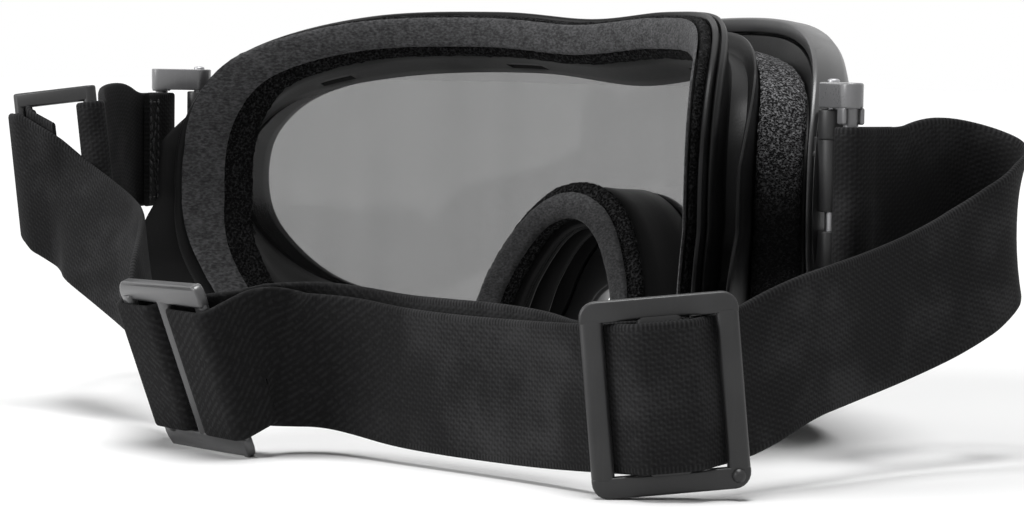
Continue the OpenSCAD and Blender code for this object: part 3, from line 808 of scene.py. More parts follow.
@dataclass
class FrontShell:
    """Hard front frame with its lip over the lens, and the gasket under the lens."""

    outline: GoggleOutline
    lens_t: float = 2.3
    lip_t: float = 2.2
    skirt_in: float = 0.24

    def front(self) -> Piece:
        """Makes the hard front frame."""
        out = self.lens_t + SEAT
        lip = self.lip_t
        section = [
            [SKIRT_START, .02, BODY_LIFT, 0, 0, 0, 8], [SKIRT_START, self.skirt_in, BODY_LIFT],
            [1, self.skirt_in, BODY_LIFT], [1, self.skirt_in, out], [1, .92, out],
            [1, .9, out + .6 * lip], [1, .8, out + .85 * lip], [1, .5, out + lip],
            [1, .24, out + .95 * lip], [1, .1, out + .72 * lip, 0, 0, 0, 4],
            [1, .03, out + .3 * lip, 0, 0, 0, 7.5], [1, 0, 0, 0, 0, 0, 8.5],
            [.97, -.01, BODY_LIFT, 0, 0, 0, 8.5]]
        obj = Sweep(self.outline, section).build("hard_front")
        round_edges(obj, 0.45, 3)
        return finished(obj, FRONT_PLASTIC, "front_frame")

    def gasket(self) -> Piece:
        """Makes the gasket between the frame and the lens."""
        section = [[1, .38, -SEAT - 1], [1, .38, -SEAT], [1, .95, -SEAT], [1, .95, -SEAT - 1]]
        obj = Sweep(self.outline, section).build("lens_seal")
        round_edges(obj, 0.25, 2)
        return finished(obj, GASKET_RUBBER, "lens_gasket")

    def lens(self) -> Piece:
        """Makes the curved pane."""
        section = [[1, .3, 0], [1, .3, self.lens_t], [1, 1.0, self.lens_t], [1, 1.0, 0]]
        rows = Sweep(self.outline, section).grid()
        return self.pane(rows[:, 0], rows[:, 1])

    def pane(self, inner: np.ndarray, outer: np.ndarray) -> Piece:
        """Fills both edge lines of the lens with rows of faces from the brow to the chin."""
        rungs = 10
        middle = self.outline.count // 2
        points: list[np.ndarray] = []
        faces: list[tuple[int, ...]] = []
        for line, lift in ((inner, 0.0), (outer, self.lens_t)):
            start = sum(len(p) for p in points)
            for k in range(middle + 1):
                row = mix(*self.chord(line, k, middle), np.linspace(0, 1, rungs + 1)[:, None])
                row[:, 1] = self.outline.lens_y(row[:, 0], lift)
                points.append(row)
            faces += [tuple(start + i for i in face)[::1 if lift else -1]
                      for face in quads(middle + 1, rungs + 1, open_rows=True)]
        m, half = rungs + 1, (middle + 1) * (rungs + 1)
        sides = [(k * m + i, (k + 1) * m + i, 1 if i == 0 else -1)
                 for k in range(middle) for i in (0, rungs)]
        sides += [(k * m + i, k * m + i + 1, turn)
                  for k, turn in ((0, -1), (middle, 1)) for i in range(rungs)]
        faces += [(a, b, b + half, a + half)[::turn] for a, b, turn in sides]
        obj = make_object("smoke_pane", placed(np.vstack(points), FOOT_SINK), faces)
        smooth(obj)
        return finished(obj, SMOKE_LENS, "lens")

    @staticmethod
    def chord(line: np.ndarray, k: int, middle: int) -> tuple[np.ndarray, np.ndarray]:
        """Upper and lower end of the pane's chord number k, from the wearer's left to the right."""
        return line[(middle // 2 - k) % len(line)], line[(middle // 2 + k) % len(line)]


@dataclass
class Padding:
    """Face foam with its brushed facing, and the filter foam over the air windows."""

    outline: GoggleOutline
    foam_t: float = 4.4
    facing_t: float = 1.0
    vent_t: float = 2.0
    strips: tuple[tuple[str, float, float], ...] = (
        ("top_vent_foam", -9.5, 9.5), ("left_vent_foam", 9.55, 21.45),
        ("right_vent_foam", 62.55, 74.45),
        ("lower_left_vent_foam", 21.55, 28), ("lower_right_vent_foam", 56, 62.45))

    @staticmethod
    def draw(band: float) -> float:
        """Millimetres by which the outer half of the padding is drawn in at the temples."""
        return -1.2 * max(0.0, 1 - band / 0.6)

    def piece(self, name: str, section: Places, finish: Finish, node: str, fill: float,
              ruffle: float, size: float, run: Sequence[int] = ()) -> Piece:
        """Makes one ruffled, padded piece, all round or between two stations."""
        obj = Sweep(self.outline, section, *run).build(name, ruffle, size)
        smooth(obj, PAD_SMOOTH)
        return finished(obj, finish, node)

    def cushion(self) -> Piece:
        """Makes the foam cushion on the face flange."""
        section = [[0, band, 0, 0, SEAT + share * self.foam_t, self.draw(band)] for band, share in (
            (.2, .02), (.17, .2), (.16, .4), (.17, .58), (.2, .74), (.27, .87), (.35, .95),
            (.46, .99), (.58, 1), (.7, .97), (.82, .9), (.93, .79), (1.02, .66), (1.09, .5),
            (1.13, .33), (1.14, .17), (1.1, .02), (.9, 0), (.6, 0), (.4, 0))]
        return self.piece("face_cushion", section, FACE_FOAM, "face_foam", 0.8, 0.32, 0.9)

    def facing(self) -> Piece:
        """Makes the brushed facing on the cushion."""
        low, t = 2 * SEAT + 0.9 * self.foam_t, self.facing_t
        rise = 0.1 * self.foam_t
        spots = [(.22, 0), (.24, .6), (.31, .85), (.41, 1), (.54, 1), (.67, 1), (.78, .95),
                 (.87, .7), (.89, 0), (.74, 0), (.58, 0), (.4, 0)]
        section = [[0, b, 0, 0, low + s * t + rise * (1 - ((b - .55) / .4) ** 2), self.draw(b)]
                   for b, s in spots]
        return self.piece("brushed_facing", section, FLEECE, "face_facing", 0.5, 0.1, 1.2)

    def vent(self, node: str, first: float, last: float) -> Piece:
        """Makes one strip of filter foam between two of the CAD outline's stations."""
        low, high = WALL_T + SEAT, WALL_T + SEAT + self.vent_t
        across = np.linspace(.455, .885, 12)
        crown = np.sin(np.linspace(0, math.pi, 12)) ** 0.3
        section = [[d, 1, BODY_LIFT, low + (high - low) * (.6 + .5 * c)]
                   for d, c in zip(across, crown)]
        section += [[d, 1, BODY_LIFT, low] for d in across[::-3]]
        scale = self.outline.count // CAD_STATIONS
        name = node.replace("vent_foam", "filter_foam")
        run = round(first * scale), round(last * scale)
        return self.piece(name, section, VENT_FOAM, node, 0.7, 0.3, 0.9, run)

    def build(self) -> list[Piece]:
        """Makes all the padding."""
        return [self.cushion(), self.facing(), *(self.vent(*strip) for strip in self.strips)]


# Buckles and clips


class Shapes:
    """Collects closed shapes in a piece's own axes and makes them one mesh."""

    def __init__(self) -> None:
        """Starts with no shapes."""
        self.points: list[np.ndarray] = []
        self.faces: list[tuple[int, ...]] = []
        self.count = 0

    def shell(self, points: np.ndarray, faces: Faces, axes: Axes = (0, 1, 2)) -> None:
        """Adds a closed shell, turned inside out where the axes it was drawn on are mirrored."""
        if np.linalg.det(np.eye(3)[list(axes)]) < 0:
            faces = [f[::-1] for f in faces]
        self.points.append(points)
        self.faces += [tuple(i + self.count for i in f) for f in faces]
        self.count += len(points)

    def prism(self, outline: np.ndarray, low: float, high: float, axes: Axes = (0, 1, 2)) -> None:
        """Adds an outline drawn on the first two axes and raised along the third one."""
        n = len(outline)
        points = np.zeros((2 * n, 3))
        points[:, axes[:2]] = np.vstack([outline, outline])
        points[:, axes[2]] = np.repeat((low, high), n)
        faces = [tuple(range(n))[::-1], tuple(range(n, 2 * n))]
        faces += [(i, (i + 1) % n, n + (i + 1) % n, n + i) for i in range(n)]
        self.shell(points, faces, axes)

    def box(self, low: Place, high: Place) -> None:
        """Adds a block between two corners."""
        (x0, y0, z0), (x1, y1, z1) = low, high
        self.prism(np.array([[x0, y0], [x1, y0], [x1, y1], [x0, y1]]), z0, z1)

    def turned(self, profile: Sequence[tuple[float, float]], centre: Place,
               axes: Axes = (0, 1, 2), sides: int = 36) -> None:
        """Adds a solid of revolution round the last axis, from radius and height pairs."""
        angles = np.arange(sides) * 2 * math.pi / sides
        radii, heights = np.array(profile, float).T
        rings = np.zeros((len(profile) * sides, 3))
        rings[:, axes[0]] = np.outer(radii, np.cos(angles)).ravel()
        rings[:, axes[1]] = np.outer(radii, np.sin(angles)).ravel()
        rings[:, axes[2]] = np.repeat(heights, sides)
        faces = [tuple(range(sides))[::-1],
                 tuple(range((len(profile) - 1) * sides, len(profile) * sides)),
                 *quads(len(profile), sides, flip=True)]
        self.shell(rings + np.asarray(centre, float), faces, axes)

    def rod(self, radius: float, centre: Place, low: float, high: float, dome: float = 0.0) -> None:
        """Adds a rod along the third axis, with domed ends if dome is above 0."""
        ends = [(radius * s, low - dome * c) for s, c in (DOME if dome else ())]
        tops = [(r, high + low - h) for r, h in reversed(ends)]
        self.turned([*ends, (radius, low), (radius, high), *tops], centre)

    def build(self, name: str, to_part: Callable[[np.ndarray], np.ndarray],
              rounding: float = 0.35) -> Piece:
        """Makes the piece, which to_part turns into millimetres from the goggles' middle."""
        points = to_part(np.vstack(self.points))
        faces = self.faces
        probe = to_part(np.vstack([np.zeros(3), np.eye(3)]))
        if np.linalg.det(probe[1:] - probe[0]) < 0:
            faces = [f[::-1] for f in faces]
        obj = make_object(name, placed(points), faces)
        round_edges(obj, rounding, 3)
        return obj


def stadium(a: Place, b: Place, ra: float, rb: float, steps: int = 14) -> np.ndarray:
    """Outline round two circles of radii ra and rb, in the order of growing angle."""
    start = math.atan2(b[1] - a[1], b[0] - a[0])
    angles = [(c, r, start + math.radians(turn + 180 * i / steps))
              for c, r, turn in ((b, rb, -90), (a, ra, 90)) for i in range(steps + 1)]
    return np.array([[c[0] + r * math.cos(a), c[1] + r * math.sin(a)] for c, r, a in angles])


@dataclass
class TempleClip:
    """Clip base, hinge pin and strap clip of one temple."""

    side: Side
    outline: GoggleOutline
    hinge_x: float = 94.6
    hinge_y: float = 34.517
    clip_z: float = 50.2
    window: float = 38.0
    arm_h: float = 5.0
    arm_l: float = 9.4
    arm_angle: float = 58.0
    ear_h: float = 6.0
    skin: float = 2.5
    barrel_gap: tuple[float, float] = (18.8, 22.5)
    pin_dome: float = 0.35
    tab: tuple[Spot, Spot] = ((-3.9, -1.0, 33.2), (-1.6, 1.35, 34.4))

    @property
    def word(self) -> str:
        """The side as it is used in names."""
        return self.side.name.lower()

    @property
    def strap_z(self) -> float:
        """Height of the strap's middle on the clip's bar."""
        return 55.0 if self.side is Side.LEFT else 52.2

    @property
    def low(self) -> float:
        """Height of the clip's lower end."""
        return self.clip_z - self.window / 2 - self.arm_h

    @property
    def height(self) -> float:
        """Height of the whole clip."""
        return self.window + 2 * self.arm_h

    def from_hinge(self, angle: float) -> Callable[[np.ndarray], np.ndarray]:
        """A mover of places from the hinge, with +Y along an arm swung out by the angle."""
        c, s = cos_sin(angle)

        def to_part(p: np.ndarray) -> np.ndarray:
            """Turns them into millimetres from the goggles' middle."""
            x = self.hinge_x + p[:, 0] * c + p[:, 1] * s
            y = self.hinge_y - p[:, 0] * s + p[:, 1] * c
            return np.stack([self.side.value * x, y, self.low + p[:, 2]], 1)

        return to_part

    def strap_clip(self) -> Piece:
        """Makes the bracket that swings on the hinge pin and holds the strap."""
        shapes = Shapes()
        for z in (0.0, self.height - self.arm_h):
            shapes.prism(stadium((0, 0), (0, self.arm_l), EYE_R, 2.4), z, z + self.arm_h)
        shapes.rod(BAR_R, (0, self.arm_l, 0), 0, self.height)
        strap_low = self.strap_z - STRAP_W / 2 - self.low
        arm_top, arm_low = self.arm_h, self.height - self.arm_h
        cheeks = ((arm_top - .2, min(arm_top + 5, strap_low - .4)),
                  (max(arm_low - 5, strap_low + STRAP_W + .4), arm_low + .2))
        for low, high in cheeks:
            for x in (-2.3, 1.4):
                shapes.box((x, self.arm_l - 1.6, low), (x + .9, self.arm_l + 1.7, high))
        obj = shapes.build(f"{self.word}_strap_bracket", self.from_hinge(self.arm_angle), 0.45)
        return finished(obj, CLIP_PLASTIC_PAINTED_HIGHLIGHT, f"{self.word}_strap_clip", f"{self.word}_clip")

    def pin(self) -> Piece:
        """Makes the hinge pin with its domed ends."""
        shapes = Shapes()
        shapes.rod(PIN_R, (0, 0, 0), -self.pin_dome, self.height + self.pin_dome, self.pin_dome)
        obj = shapes.build(f"{self.word}_pin", self.from_hinge(0), 0.1)
        return finished(obj, PIN_STEEL, f"{self.word}_hinge_pin")

    def base(self) -> Piece:
        """Makes the plate on the front frame's side with its two ears."""
        base_low = self.low + self.arm_h + SEAT
        base_h = self.window - 2 * SEAT
        run = [k for k, (x, z) in enumerate(self.outline.loops["front"][:self.outline.count // 2])
               if base_low < z - FOOT_SINK < base_low + base_h and x > TEMPLE_X]
        edge = [(SEAT, -1.1), (SEAT, 1), (SEAT + self.skin, 1), (SEAT + self.skin, -1.1)]
        section = [[1, 0, lift, spread] for spread, lift in edge]
        sweep = Sweep(self.outline, section, run[0], run[-1])
        plate = sweep.grid().reshape(-1, 3) - [self.hinge_x, self.hinge_y, self.low + FOOT_SINK]
        shapes = Shapes()
        shapes.shell(plate, sweep.faces())
        start = base_low - self.low
        for z in (start, start + base_h - self.ear_h):
            shapes.turned([(EYE_R, z), (EYE_R, z + self.ear_h)], (0, 0, 0))
            shapes.prism(self.ear_root(z), z, z + self.ear_h)
        barrel = stadium((-3.2, -1.3), (0, 0), 1.8, 2.5)
        shapes.prism(barrel, start + self.ear_h - .5, self.barrel_gap[0])
        shapes.prism(barrel, self.barrel_gap[1], start + base_h - self.ear_h + .5)
        shapes.box(*self.tab)
        obj = shapes.build(f"{self.word}_clip_plate", self.from_hinge(0), 0.35)
        return finished(obj, BUCKLE_PLASTIC, f"{self.word}_clip_base")

    def ear_root(self, z: float) -> np.ndarray:
        """Outline of the web from an ear forward into the plate, from the hinge."""
        front = self.outline.loops["front"][:self.outline.count // 2]
        side = front[front[:, 0] > TEMPLE_X][::-1]
        levels = [self.low + FOOT_SINK + z + rise for rise in (0, self.ear_h)]
        x = max(np.interp(levels, side[:, 1], side[:, 0])) + 2 * SEAT
        ends = [float(self.outline.lens_y(np.array(x), lift)) - self.hinge_y
                for lift in (1.0, BODY_LIFT + .5)]
        x -= self.hinge_x
        return np.array([[x, ends[0]], [PIN_R, -4], [PIN_R, 0], [x, ends[1]]])

    def build(self) -> list[Piece]:
        """Makes the clip's three pieces."""
        return [self.base(), self.pin(), self.strap_clip()]


@dataclass(frozen=True)
class BuckleFrame:
    """Middle of a buckle and how it is turned, in millimetres and degrees.

    Its first axis runs along the strap, its second one through the buckle and its third one
    along its bars.
    """

    x: float
    y: float
    z: float
    yaw: float
    tilt: float = 0.0
    lean: float = 0.0

    def axes(self) -> np.ndarray:
        """The three axes as rows."""
        (c, s), (ct, st), (cl, sl) = map(cos_sin, (self.yaw, self.tilt, self.lean))
        turn = np.array([[c, s, 0], [-s, c, 0], [0, 0, 1]])
        return np.array([[ct, 0, st], [-st * sl, cl, ct * sl], [-st * cl, -sl, ct * cl]]) @ turn

    def to_part(self, points: np.ndarray) -> np.ndarray:
        """Turns places on the buckle's axes into millimetres from the goggles' middle."""
        return np.array([self.x, self.y, self.z]) + np.asarray(points, float) @ self.axes()


@dataclass
class Slider:
    """Three-bar slider."""

    name: str
    node: str
    body: Body
    at: BuckleFrame
    middle: float
    sway: float = 0.0
    boss: bool = False
    finish: MouldedFinish = BUCKLE_PLASTIC
    length: float = 28.5
    thickness: float = 2.2
    rail: float = 3.9
    end_bar: float = 4.2
    corner: float = 3.0
    bow: tuple[float, ...] = (-.6, -2.3, 1.4, 3.7)

    def rail_outline(self) -> np.ndarray:
        """Outline of the upper rail with its two rounded corners, on the first and third axes."""
        half, low, r = self.length / 2, BUCKLE_WINDOW / 2, self.corner
        high = low + self.rail
        rows = [[-half, low], [half, low]]
        for cx, start in ((half - r, 0), (r - half, 90)):
            for c, s in (cos_sin(start + 15 * i) for i in range(7)):
                rows.append([cx + r * c, high - r + r * s])
        return np.array(rows)

    def build(self) -> Piece:
        """Makes the slider."""
        shapes = Shapes()
        t = self.thickness / 2
        upper = self.rail_outline()
        for sign in (1, -1):
            outline = upper * [1, sign]
            shapes.prism(outline if sign > 0 else outline[::-1], -t, t, (0, 2, 1))
        bars = ((-self.length / 2, -self.length / 2 + self.end_bar),
                (-self.middle / 2, self.middle / 2),
                (self.length / 2 - self.end_bar, self.length / 2))
        reach = BUCKLE_WINDOW / 2 + 1
        for start, end in bars:
            shapes.prism(stadium((start + t, 0), (end - t, 0), t, t, 10), -reach, reach)
        if self.boss:
            shapes.turned([(1.25, 0), (1.25, t + .25), (1.0, t + .65), (.5, t + .85)],
                          (2.3 - self.length / 2, 0, -BUCKLE_WINDOW / 2 - 1.6), (0, 2, 1), 24)
        obj = shapes.build(self.name, self.swayed, 0.5)
        return finished(obj, self.finish, self.node, self.body.value)

    def swayed(self, points: np.ndarray) -> np.ndarray:
        """Places the slider's points, with its rails bowed in an S along their length."""
        moved = points.copy()
        beyond = np.abs(points[:, 2]) - BUCKLE_WINDOW / 2
        rail = np.clip((beyond + 1) / 2, 0, 1)
        outer = np.clip(beyond / self.rail, 0, 1) * np.sign(points[:, 2])
        s = points[:, 0] / self.length * 2
        a, b, c, d = self.bow
        moved[:, 1] += self.sway * np.sin(math.pi * s) * rail
        moved[:, 2] += self.sway * (a + b * s + c * s ** 2 + d * s ** 3) * outer * .9
        return self.at.to_part(moved)


@dataclass
class RingBuckle:
    """Two-bar ring between the anchor strap and the side strap."""

    at: BuckleFrame
    span: float = 17.0
    rail: float = 3.3

    def build(self) -> Piece:
        """Makes the ring."""
        shapes = Shapes()
        high = BUCKLE_WINDOW / 2 + self.rail
        for x in (-self.span / 2, self.span / 2):
            shapes.rod(BAR_R, (x, 0, 0), -high, high)
        for low, top in ((-high, -BUCKLE_WINDOW / 2), (BUCKLE_WINDOW / 2, high)):
            shapes.prism(stadium((-self.span / 2, 0), (self.span / 2, 0), 1.5, 1.5, 10), low, top)
        obj = shapes.build("strap_ring", self.at.to_part, 0.5)
        return finished(obj, BUCKLE_PLASTIC, "ring_buckle", Body.RING.value)


# Straps


@dataclass
class StrapRoute:
    """Route of a strap, built stretch by stretch.

    Each row is x, y, z and the way up of the strap there. marks keeps the row at which each
    named stretch starts.
    """

    rows: Places = field(default_factory=list)
    marks: dict[str, int] = field(default_factory=dict)

    def on(self, name: str, at: BuckleFrame, spots: Places) -> "StrapRoute":
        """Adds a stretch given as along, through and up on a buckle's axes."""
        up = at.axes()[2]
        spots = [[*s, 0.0][:3] for s in spots]
        self.marks[name] = len(self.rows)
        self.rows += [[*p, *up] for p in at.to_part(np.array(spots))]
        return self

    def free(self, name: str, rows: Places) -> "StrapRoute":
        """Adds a stretch between buckles. A row without a way up stands upright."""
        self.marks[name] = len(self.rows)
        self.rows += [[*r, 0, 0, 1] if len(r) == 3 else list(r) for r in rows]
        return self

    def curve(self, rounds: int = 3) -> np.ndarray:
        """Rows smoothed by cutting corners, with their place on the route as a seventh number."""
        p = np.hstack([np.array(self.rows, float), np.arange(len(self.rows))[:, None]])
        for _ in range(rounds):
            near, far = mix(p[:-1], p[1:], .25), mix(p[:-1], p[1:], .75)
            inner = np.stack([near, far], 1).reshape(-1, 7)
            p = np.vstack([p[:1], inner, p[-1:]])
        return p


def arc(centre: Place, radius: float, start: float, end: float, steps: int = 6) -> Places:
    """Round stretch of a route, widened by what the smoothing pulls in."""
    turns = [cos_sin(start + (end - start) * i / steps) for i in range(steps + 1)]
    return [[centre[0] + SMOOTHED * radius * c, centre[1] + SMOOTHED * radius * s]
            for c, s in turns]


@dataclass
class Webbing:
    """The three straps of the headband and where they run."""

    thickness: float = 1.4
    gap: float = 0.3
    edge_r: float = 1.1
    slider_l: float = 28.5
    end_bar: float = 4.2
    mid_bar: float = 8.4
    link_bar: float = 3.2
    ring: BuckleFrame = BuckleFrame(71.7, 93.9, 52.7, 24, -7)
    link: BuckleFrame = BuckleFrame(-5.5, 124.0, 16.91, 172.5, 0, 21)
    adjust: BuckleFrame = BuckleFrame(-108.0, 100.5, 18.71, 45, -5.5)
    left_bar: BuckleFrame = BuckleFrame(102.57, 39.5, 55.0, 0)
    right_bar: BuckleFrame = BuckleFrame(-102.57, 39.5, 52.2, 0)

    @property
    def layer(self) -> float:
        """Distance between the middles of two layers that lie on each other."""
        return self.thickness + self.gap

    def over(self, radius: float) -> float:
        """Radius of the strap's middle line round a bar of that radius."""
        return radius + self.gap + self.thickness / 2

    @property
    def loop_r(self) -> float:
        """Radius of the strap's middle line round a bar of a clip or of the ring."""
        return self.over(BAR_R)

    @property
    def wrap_r(self) -> float:
        """Radius of the strap's middle line round a slider's bar edge."""
        return self.over(self.edge_r)

    @property
    def link_edges(self) -> tuple[float, float]:
        """Distances from the link slider's middle bar to the centres of the strap's turns."""
        return self.slider_l / 2 - self.edge_r, self.over(self.link_bar / 2) + self.wrap_r

    @property
    def slope(self) -> tuple[float, float]:
        """Inner edge of the adjust slider's end bars, and the angle at which the strap passes."""
        end_in = self.slider_l / 2 - self.end_bar + self.edge_r
        run = end_in - (self.mid_bar / 2 - self.edge_r)
        return end_in, math.asin((2 * self.wrap_r + self.layer) / run)

    def bar_wrap(self, middle: Place, turn: float, long_end: float, sewn: float) -> Places:
        """Loop round a bar, sewn to itself, as along and through pairs.

        The strap leaves along the angle turn. Its long end starts at long_end from the bar's
        middle and its sewn end stops at sewn.
        """
        flat = [[long_end, -self.layer / 2], [6, -self.layer / 2], [3, -.85 * self.loop_r],
                *arc((0, 0), self.loop_r, -90, -270),
                [3, .85 * self.loop_r], [6, self.layer / 2], [sewn, self.layer / 2]]
        c, s = cos_sin(turn)
        return [[middle[0] + x * c - y * s, middle[1] + x * s + y * c] for x, y in flat]

    def pass_spot(self, side: int, out: float, deep: float) -> list[float]:
        """A place on a straight stretch through the adjust slider: how far out, on which layer."""
        end_in, angle = self.slope
        deep_r = self.wrap_r + deep * self.layer
        return [side * (end_in - deep_r * math.sin(angle) + out * math.cos(angle)),
                -deep_r * math.cos(angle) - out * math.sin(angle)]

    def anchor_route(self) -> StrapRoute:
        """Short strap from the left clip to the ring buckle."""
        route = StrapRoute()
        route.on("clip_loop", self.left_bar, self.bar_wrap((0, 0), 119, 15, 12)[::-1])
        route.free("run", [[91, 61, 57.5], [86.4, 68.4, 57.5], [80.6, 76, 56.5]])
        return route.on("ring_loop", self.ring, self.bar_wrap((-8.5, 0), -68, 14, 11))

    def side_route(self) -> StrapRoute:
        """Strap that sinks from the ring buckle to the link slider."""
        route = StrapRoute()
        over, round_bar = (
            [[*p, z] for p, z in zip(arc(*turn), np.linspace(*heights, 7))] for turn, heights in (
                (((4.4, .9), self.loop_r - .9, 90, 0), (-2.6, -.4)),
                (((8.5, 0), self.loop_r, 180, 400), (-.2, -1))))
        route.on("ring_loop", self.ring, [
            [-.5, 2.8, -5.6], [2.8, self.loop_r, -3.6], *over, *round_bar,
            [7.6, 4.1, -2.4], [4.4, 4.3, -4.4], [0, 4.6, -7.4]])
        route.free("run", [
            [63, 98.5, 42.5, .3, -.32, .9], [52, 97.6, 37, .3, -.32, .9],
            [41.5, 99, 33, .3, -.3, .9], [31, 103, 29.5, .25, -.1, .95],
            [21, 110, 25, .15, .15, .97]])
        out, mid = self.link_edges
        return route.on("link_loop", self.link, [
            [-20.5, 5], [-16, 2.9], [-out, self.wrap_r], *arc((-mid, 0), self.wrap_r, 90, -90),
            *arc((-out, 0), self.wrap_r, 270, 205), [-16.8, 1], [-20.8, 3]])

    def main_route(self) -> StrapRoute:
        """Long strap: adjust slider, fold at the link slider, adjust slider and right clip."""
        route = StrapRoute()
        mid_edge = self.mid_bar / 2 - self.edge_r
        (out, mid), over = self.link_edges, self.wrap_r + self.layer
        slope = math.degrees(self.slope[1])
        route.on("slider_loop", self.adjust, [
            [2.6, self.wrap_r], *arc((-mid_edge, 0), self.wrap_r, 90, 270),
            [mid_edge, -self.wrap_r], [6.4, -self.wrap_r],
            self.pass_spot(1, 1, 1), self.pass_spot(1, 9, 1)])
        route.free("out_run", [
            [-80, 102, 18.5], [-68, 101.7, 19], [-56, 101.9, 19], [-44, 102.2, 19],
            [-33, 102.7, 20, 0, .05, 1], [-24.4, 104.9, 20.8, 0, .2, 1],
            [-19.6, 111.3, 20.5, .02, .32, .95]])
        route.on("link_fold", self.link, [
            [12.2, 8.3], [7.6, 6.6], [3, 3.6], *arc((mid, 0), self.wrap_r, 180, 270),
            *arc((out, 0), self.wrap_r, -90, 0), [15.1, 5], [15, 9]])
        route.free("back_run", [
            [-22.4, 112, 18.8, .02, .3, .95], [-26.6, 107.4, 18.6, 0, .2, 1],
            [-33.6, 105, 18, 0, .05, 1], [-44, 104.5, 16.8], [-56, 104.2, 16.4],
            [-68, 104, 16.4], [-80, 104.3, 16.6]])
        route.on("slider_pass", self.adjust, [
            self.pass_spot(1, 8, 0), self.pass_spot(1, 0, 0),
            *arc((mid_edge, 0), over, 90 - slope, 90), *arc((-mid_edge, 0), over, 90, 90 + slope),
            self.pass_spot(-1, 0, 0), self.pass_spot(-1, 8, 0)])
        route.free("end_run", [
            [-115.6, 72, 25.4], [-116.6, 60, 27.8], [-117, 49, 29.8], [-118.4, 38, 32.6],
            [-120.6, 29, 36], [-122.8, 20.5, 40.4], [-122.6, 12.5, 44.6], [-118.4, 6.2, 48.2],
            [-113, 5, 51], [-108.6, 8, 53], [-106.9, 13, 54], [-106.4, 19, 54]])
        return route.on("clip_loop", self.right_bar, self.bar_wrap((0, 0), 261, 15, 12))


class Ribbon:
    """Flat strap with round edges along a smoothed route, cut into pieces that move apart."""

    def __init__(self, route: StrapRoute, thickness: float, upright: float = 0.0) -> None:
        """Works out the strap's middle line and its directions.

        upright is the share by which it stays upright where it slants, 0 for a square section.
        """
        p = route.curve()
        self.route = route
        self.middle, self.mark = p[:, :3], p[:, 6]
        ahead = (np.vstack([self.middle[1:], self.middle[-1:]])
                 - np.vstack([self.middle[:1], self.middle[:-1]]))
        self.tangent = ahead / np.linalg.norm(ahead, axis=1)[:, None]
        way = p[:, 3:6] / np.linalg.norm(p[:, 3:6], axis=1)[:, None]
        square = way - (way * self.tangent).sum(1)[:, None] * self.tangent
        part = np.linalg.norm(square, axis=1)[:, None]
        self.out = np.cross(self.tangent, square / part)
        self.up = mix(square / part, way / np.maximum(part, 0.88), upright)
        steps = np.linalg.norm(np.diff(self.middle, axis=0), axis=1)
        self.length = np.concatenate([[0], np.cumsum(steps)])
        self.thickness = thickness

    def section(self) -> np.ndarray:
        """Points of the section as across and through pairs, in the order round it."""
        half, r = STRAP_W / 2, self.thickness / 2
        flat, turns = np.linspace(-half + r, half - r, 7), np.linspace(0, math.pi, 6)[1:-1]
        rows = [[w, -r] for w in flat]
        rows += [[half - r + r * math.sin(a), -r * math.cos(a)] for a in turns]
        rows += [[w, r] for w in flat[::-1]]
        rows += [[r - half - r * math.sin(a), r * math.cos(a)] for a in turns]
        return np.array(rows)

    def row_at(self, name: str, steps: float) -> int:
        """Row of the middle line at some steps after the start of a named stretch."""
        return int(np.argmin(np.abs(self.mark - (self.route.marks[name] + steps))))

    def piece(self, name: str, first: int, last: int) -> Piece:
        """Makes the strap between two rows, with metres along and across it as its UV map."""
        section = self.section()
        m, rows = len(section), range(first, last + 1)
        points = np.vstack([
            self.middle[k] + section[:, :1] * self.up[k] + section[:, 1:] * self.out[k]
            for k in rows])
        faces = [*quads(len(rows), m, flip=True), tuple(range(m))[::-1],
                 tuple(range((len(rows) - 1) * m, len(rows) * m))]
        obj = make_object(name, placed(points), faces)
        layer = obj.data.uv_layers.new(name="strap")
        for loop in obj.data.loops:
            row, i = divmod(loop.vertex_index, m)
            layer.data[loop.index].uv = (self.length[first + row] * MM, section[i, 0] * MM)
        smooth(obj, 50)
        WEBBING.dress(obj)
        return obj

    def spot(self, row: int, across: float, face: float) -> np.ndarray:
        """Place on the strap's surface at a row, across from its middle, on face 1 or -1."""
        lift = face * (self.thickness / 2 + 0.08)
        return self.middle[row] + across * self.up[row] + lift * self.out[row]


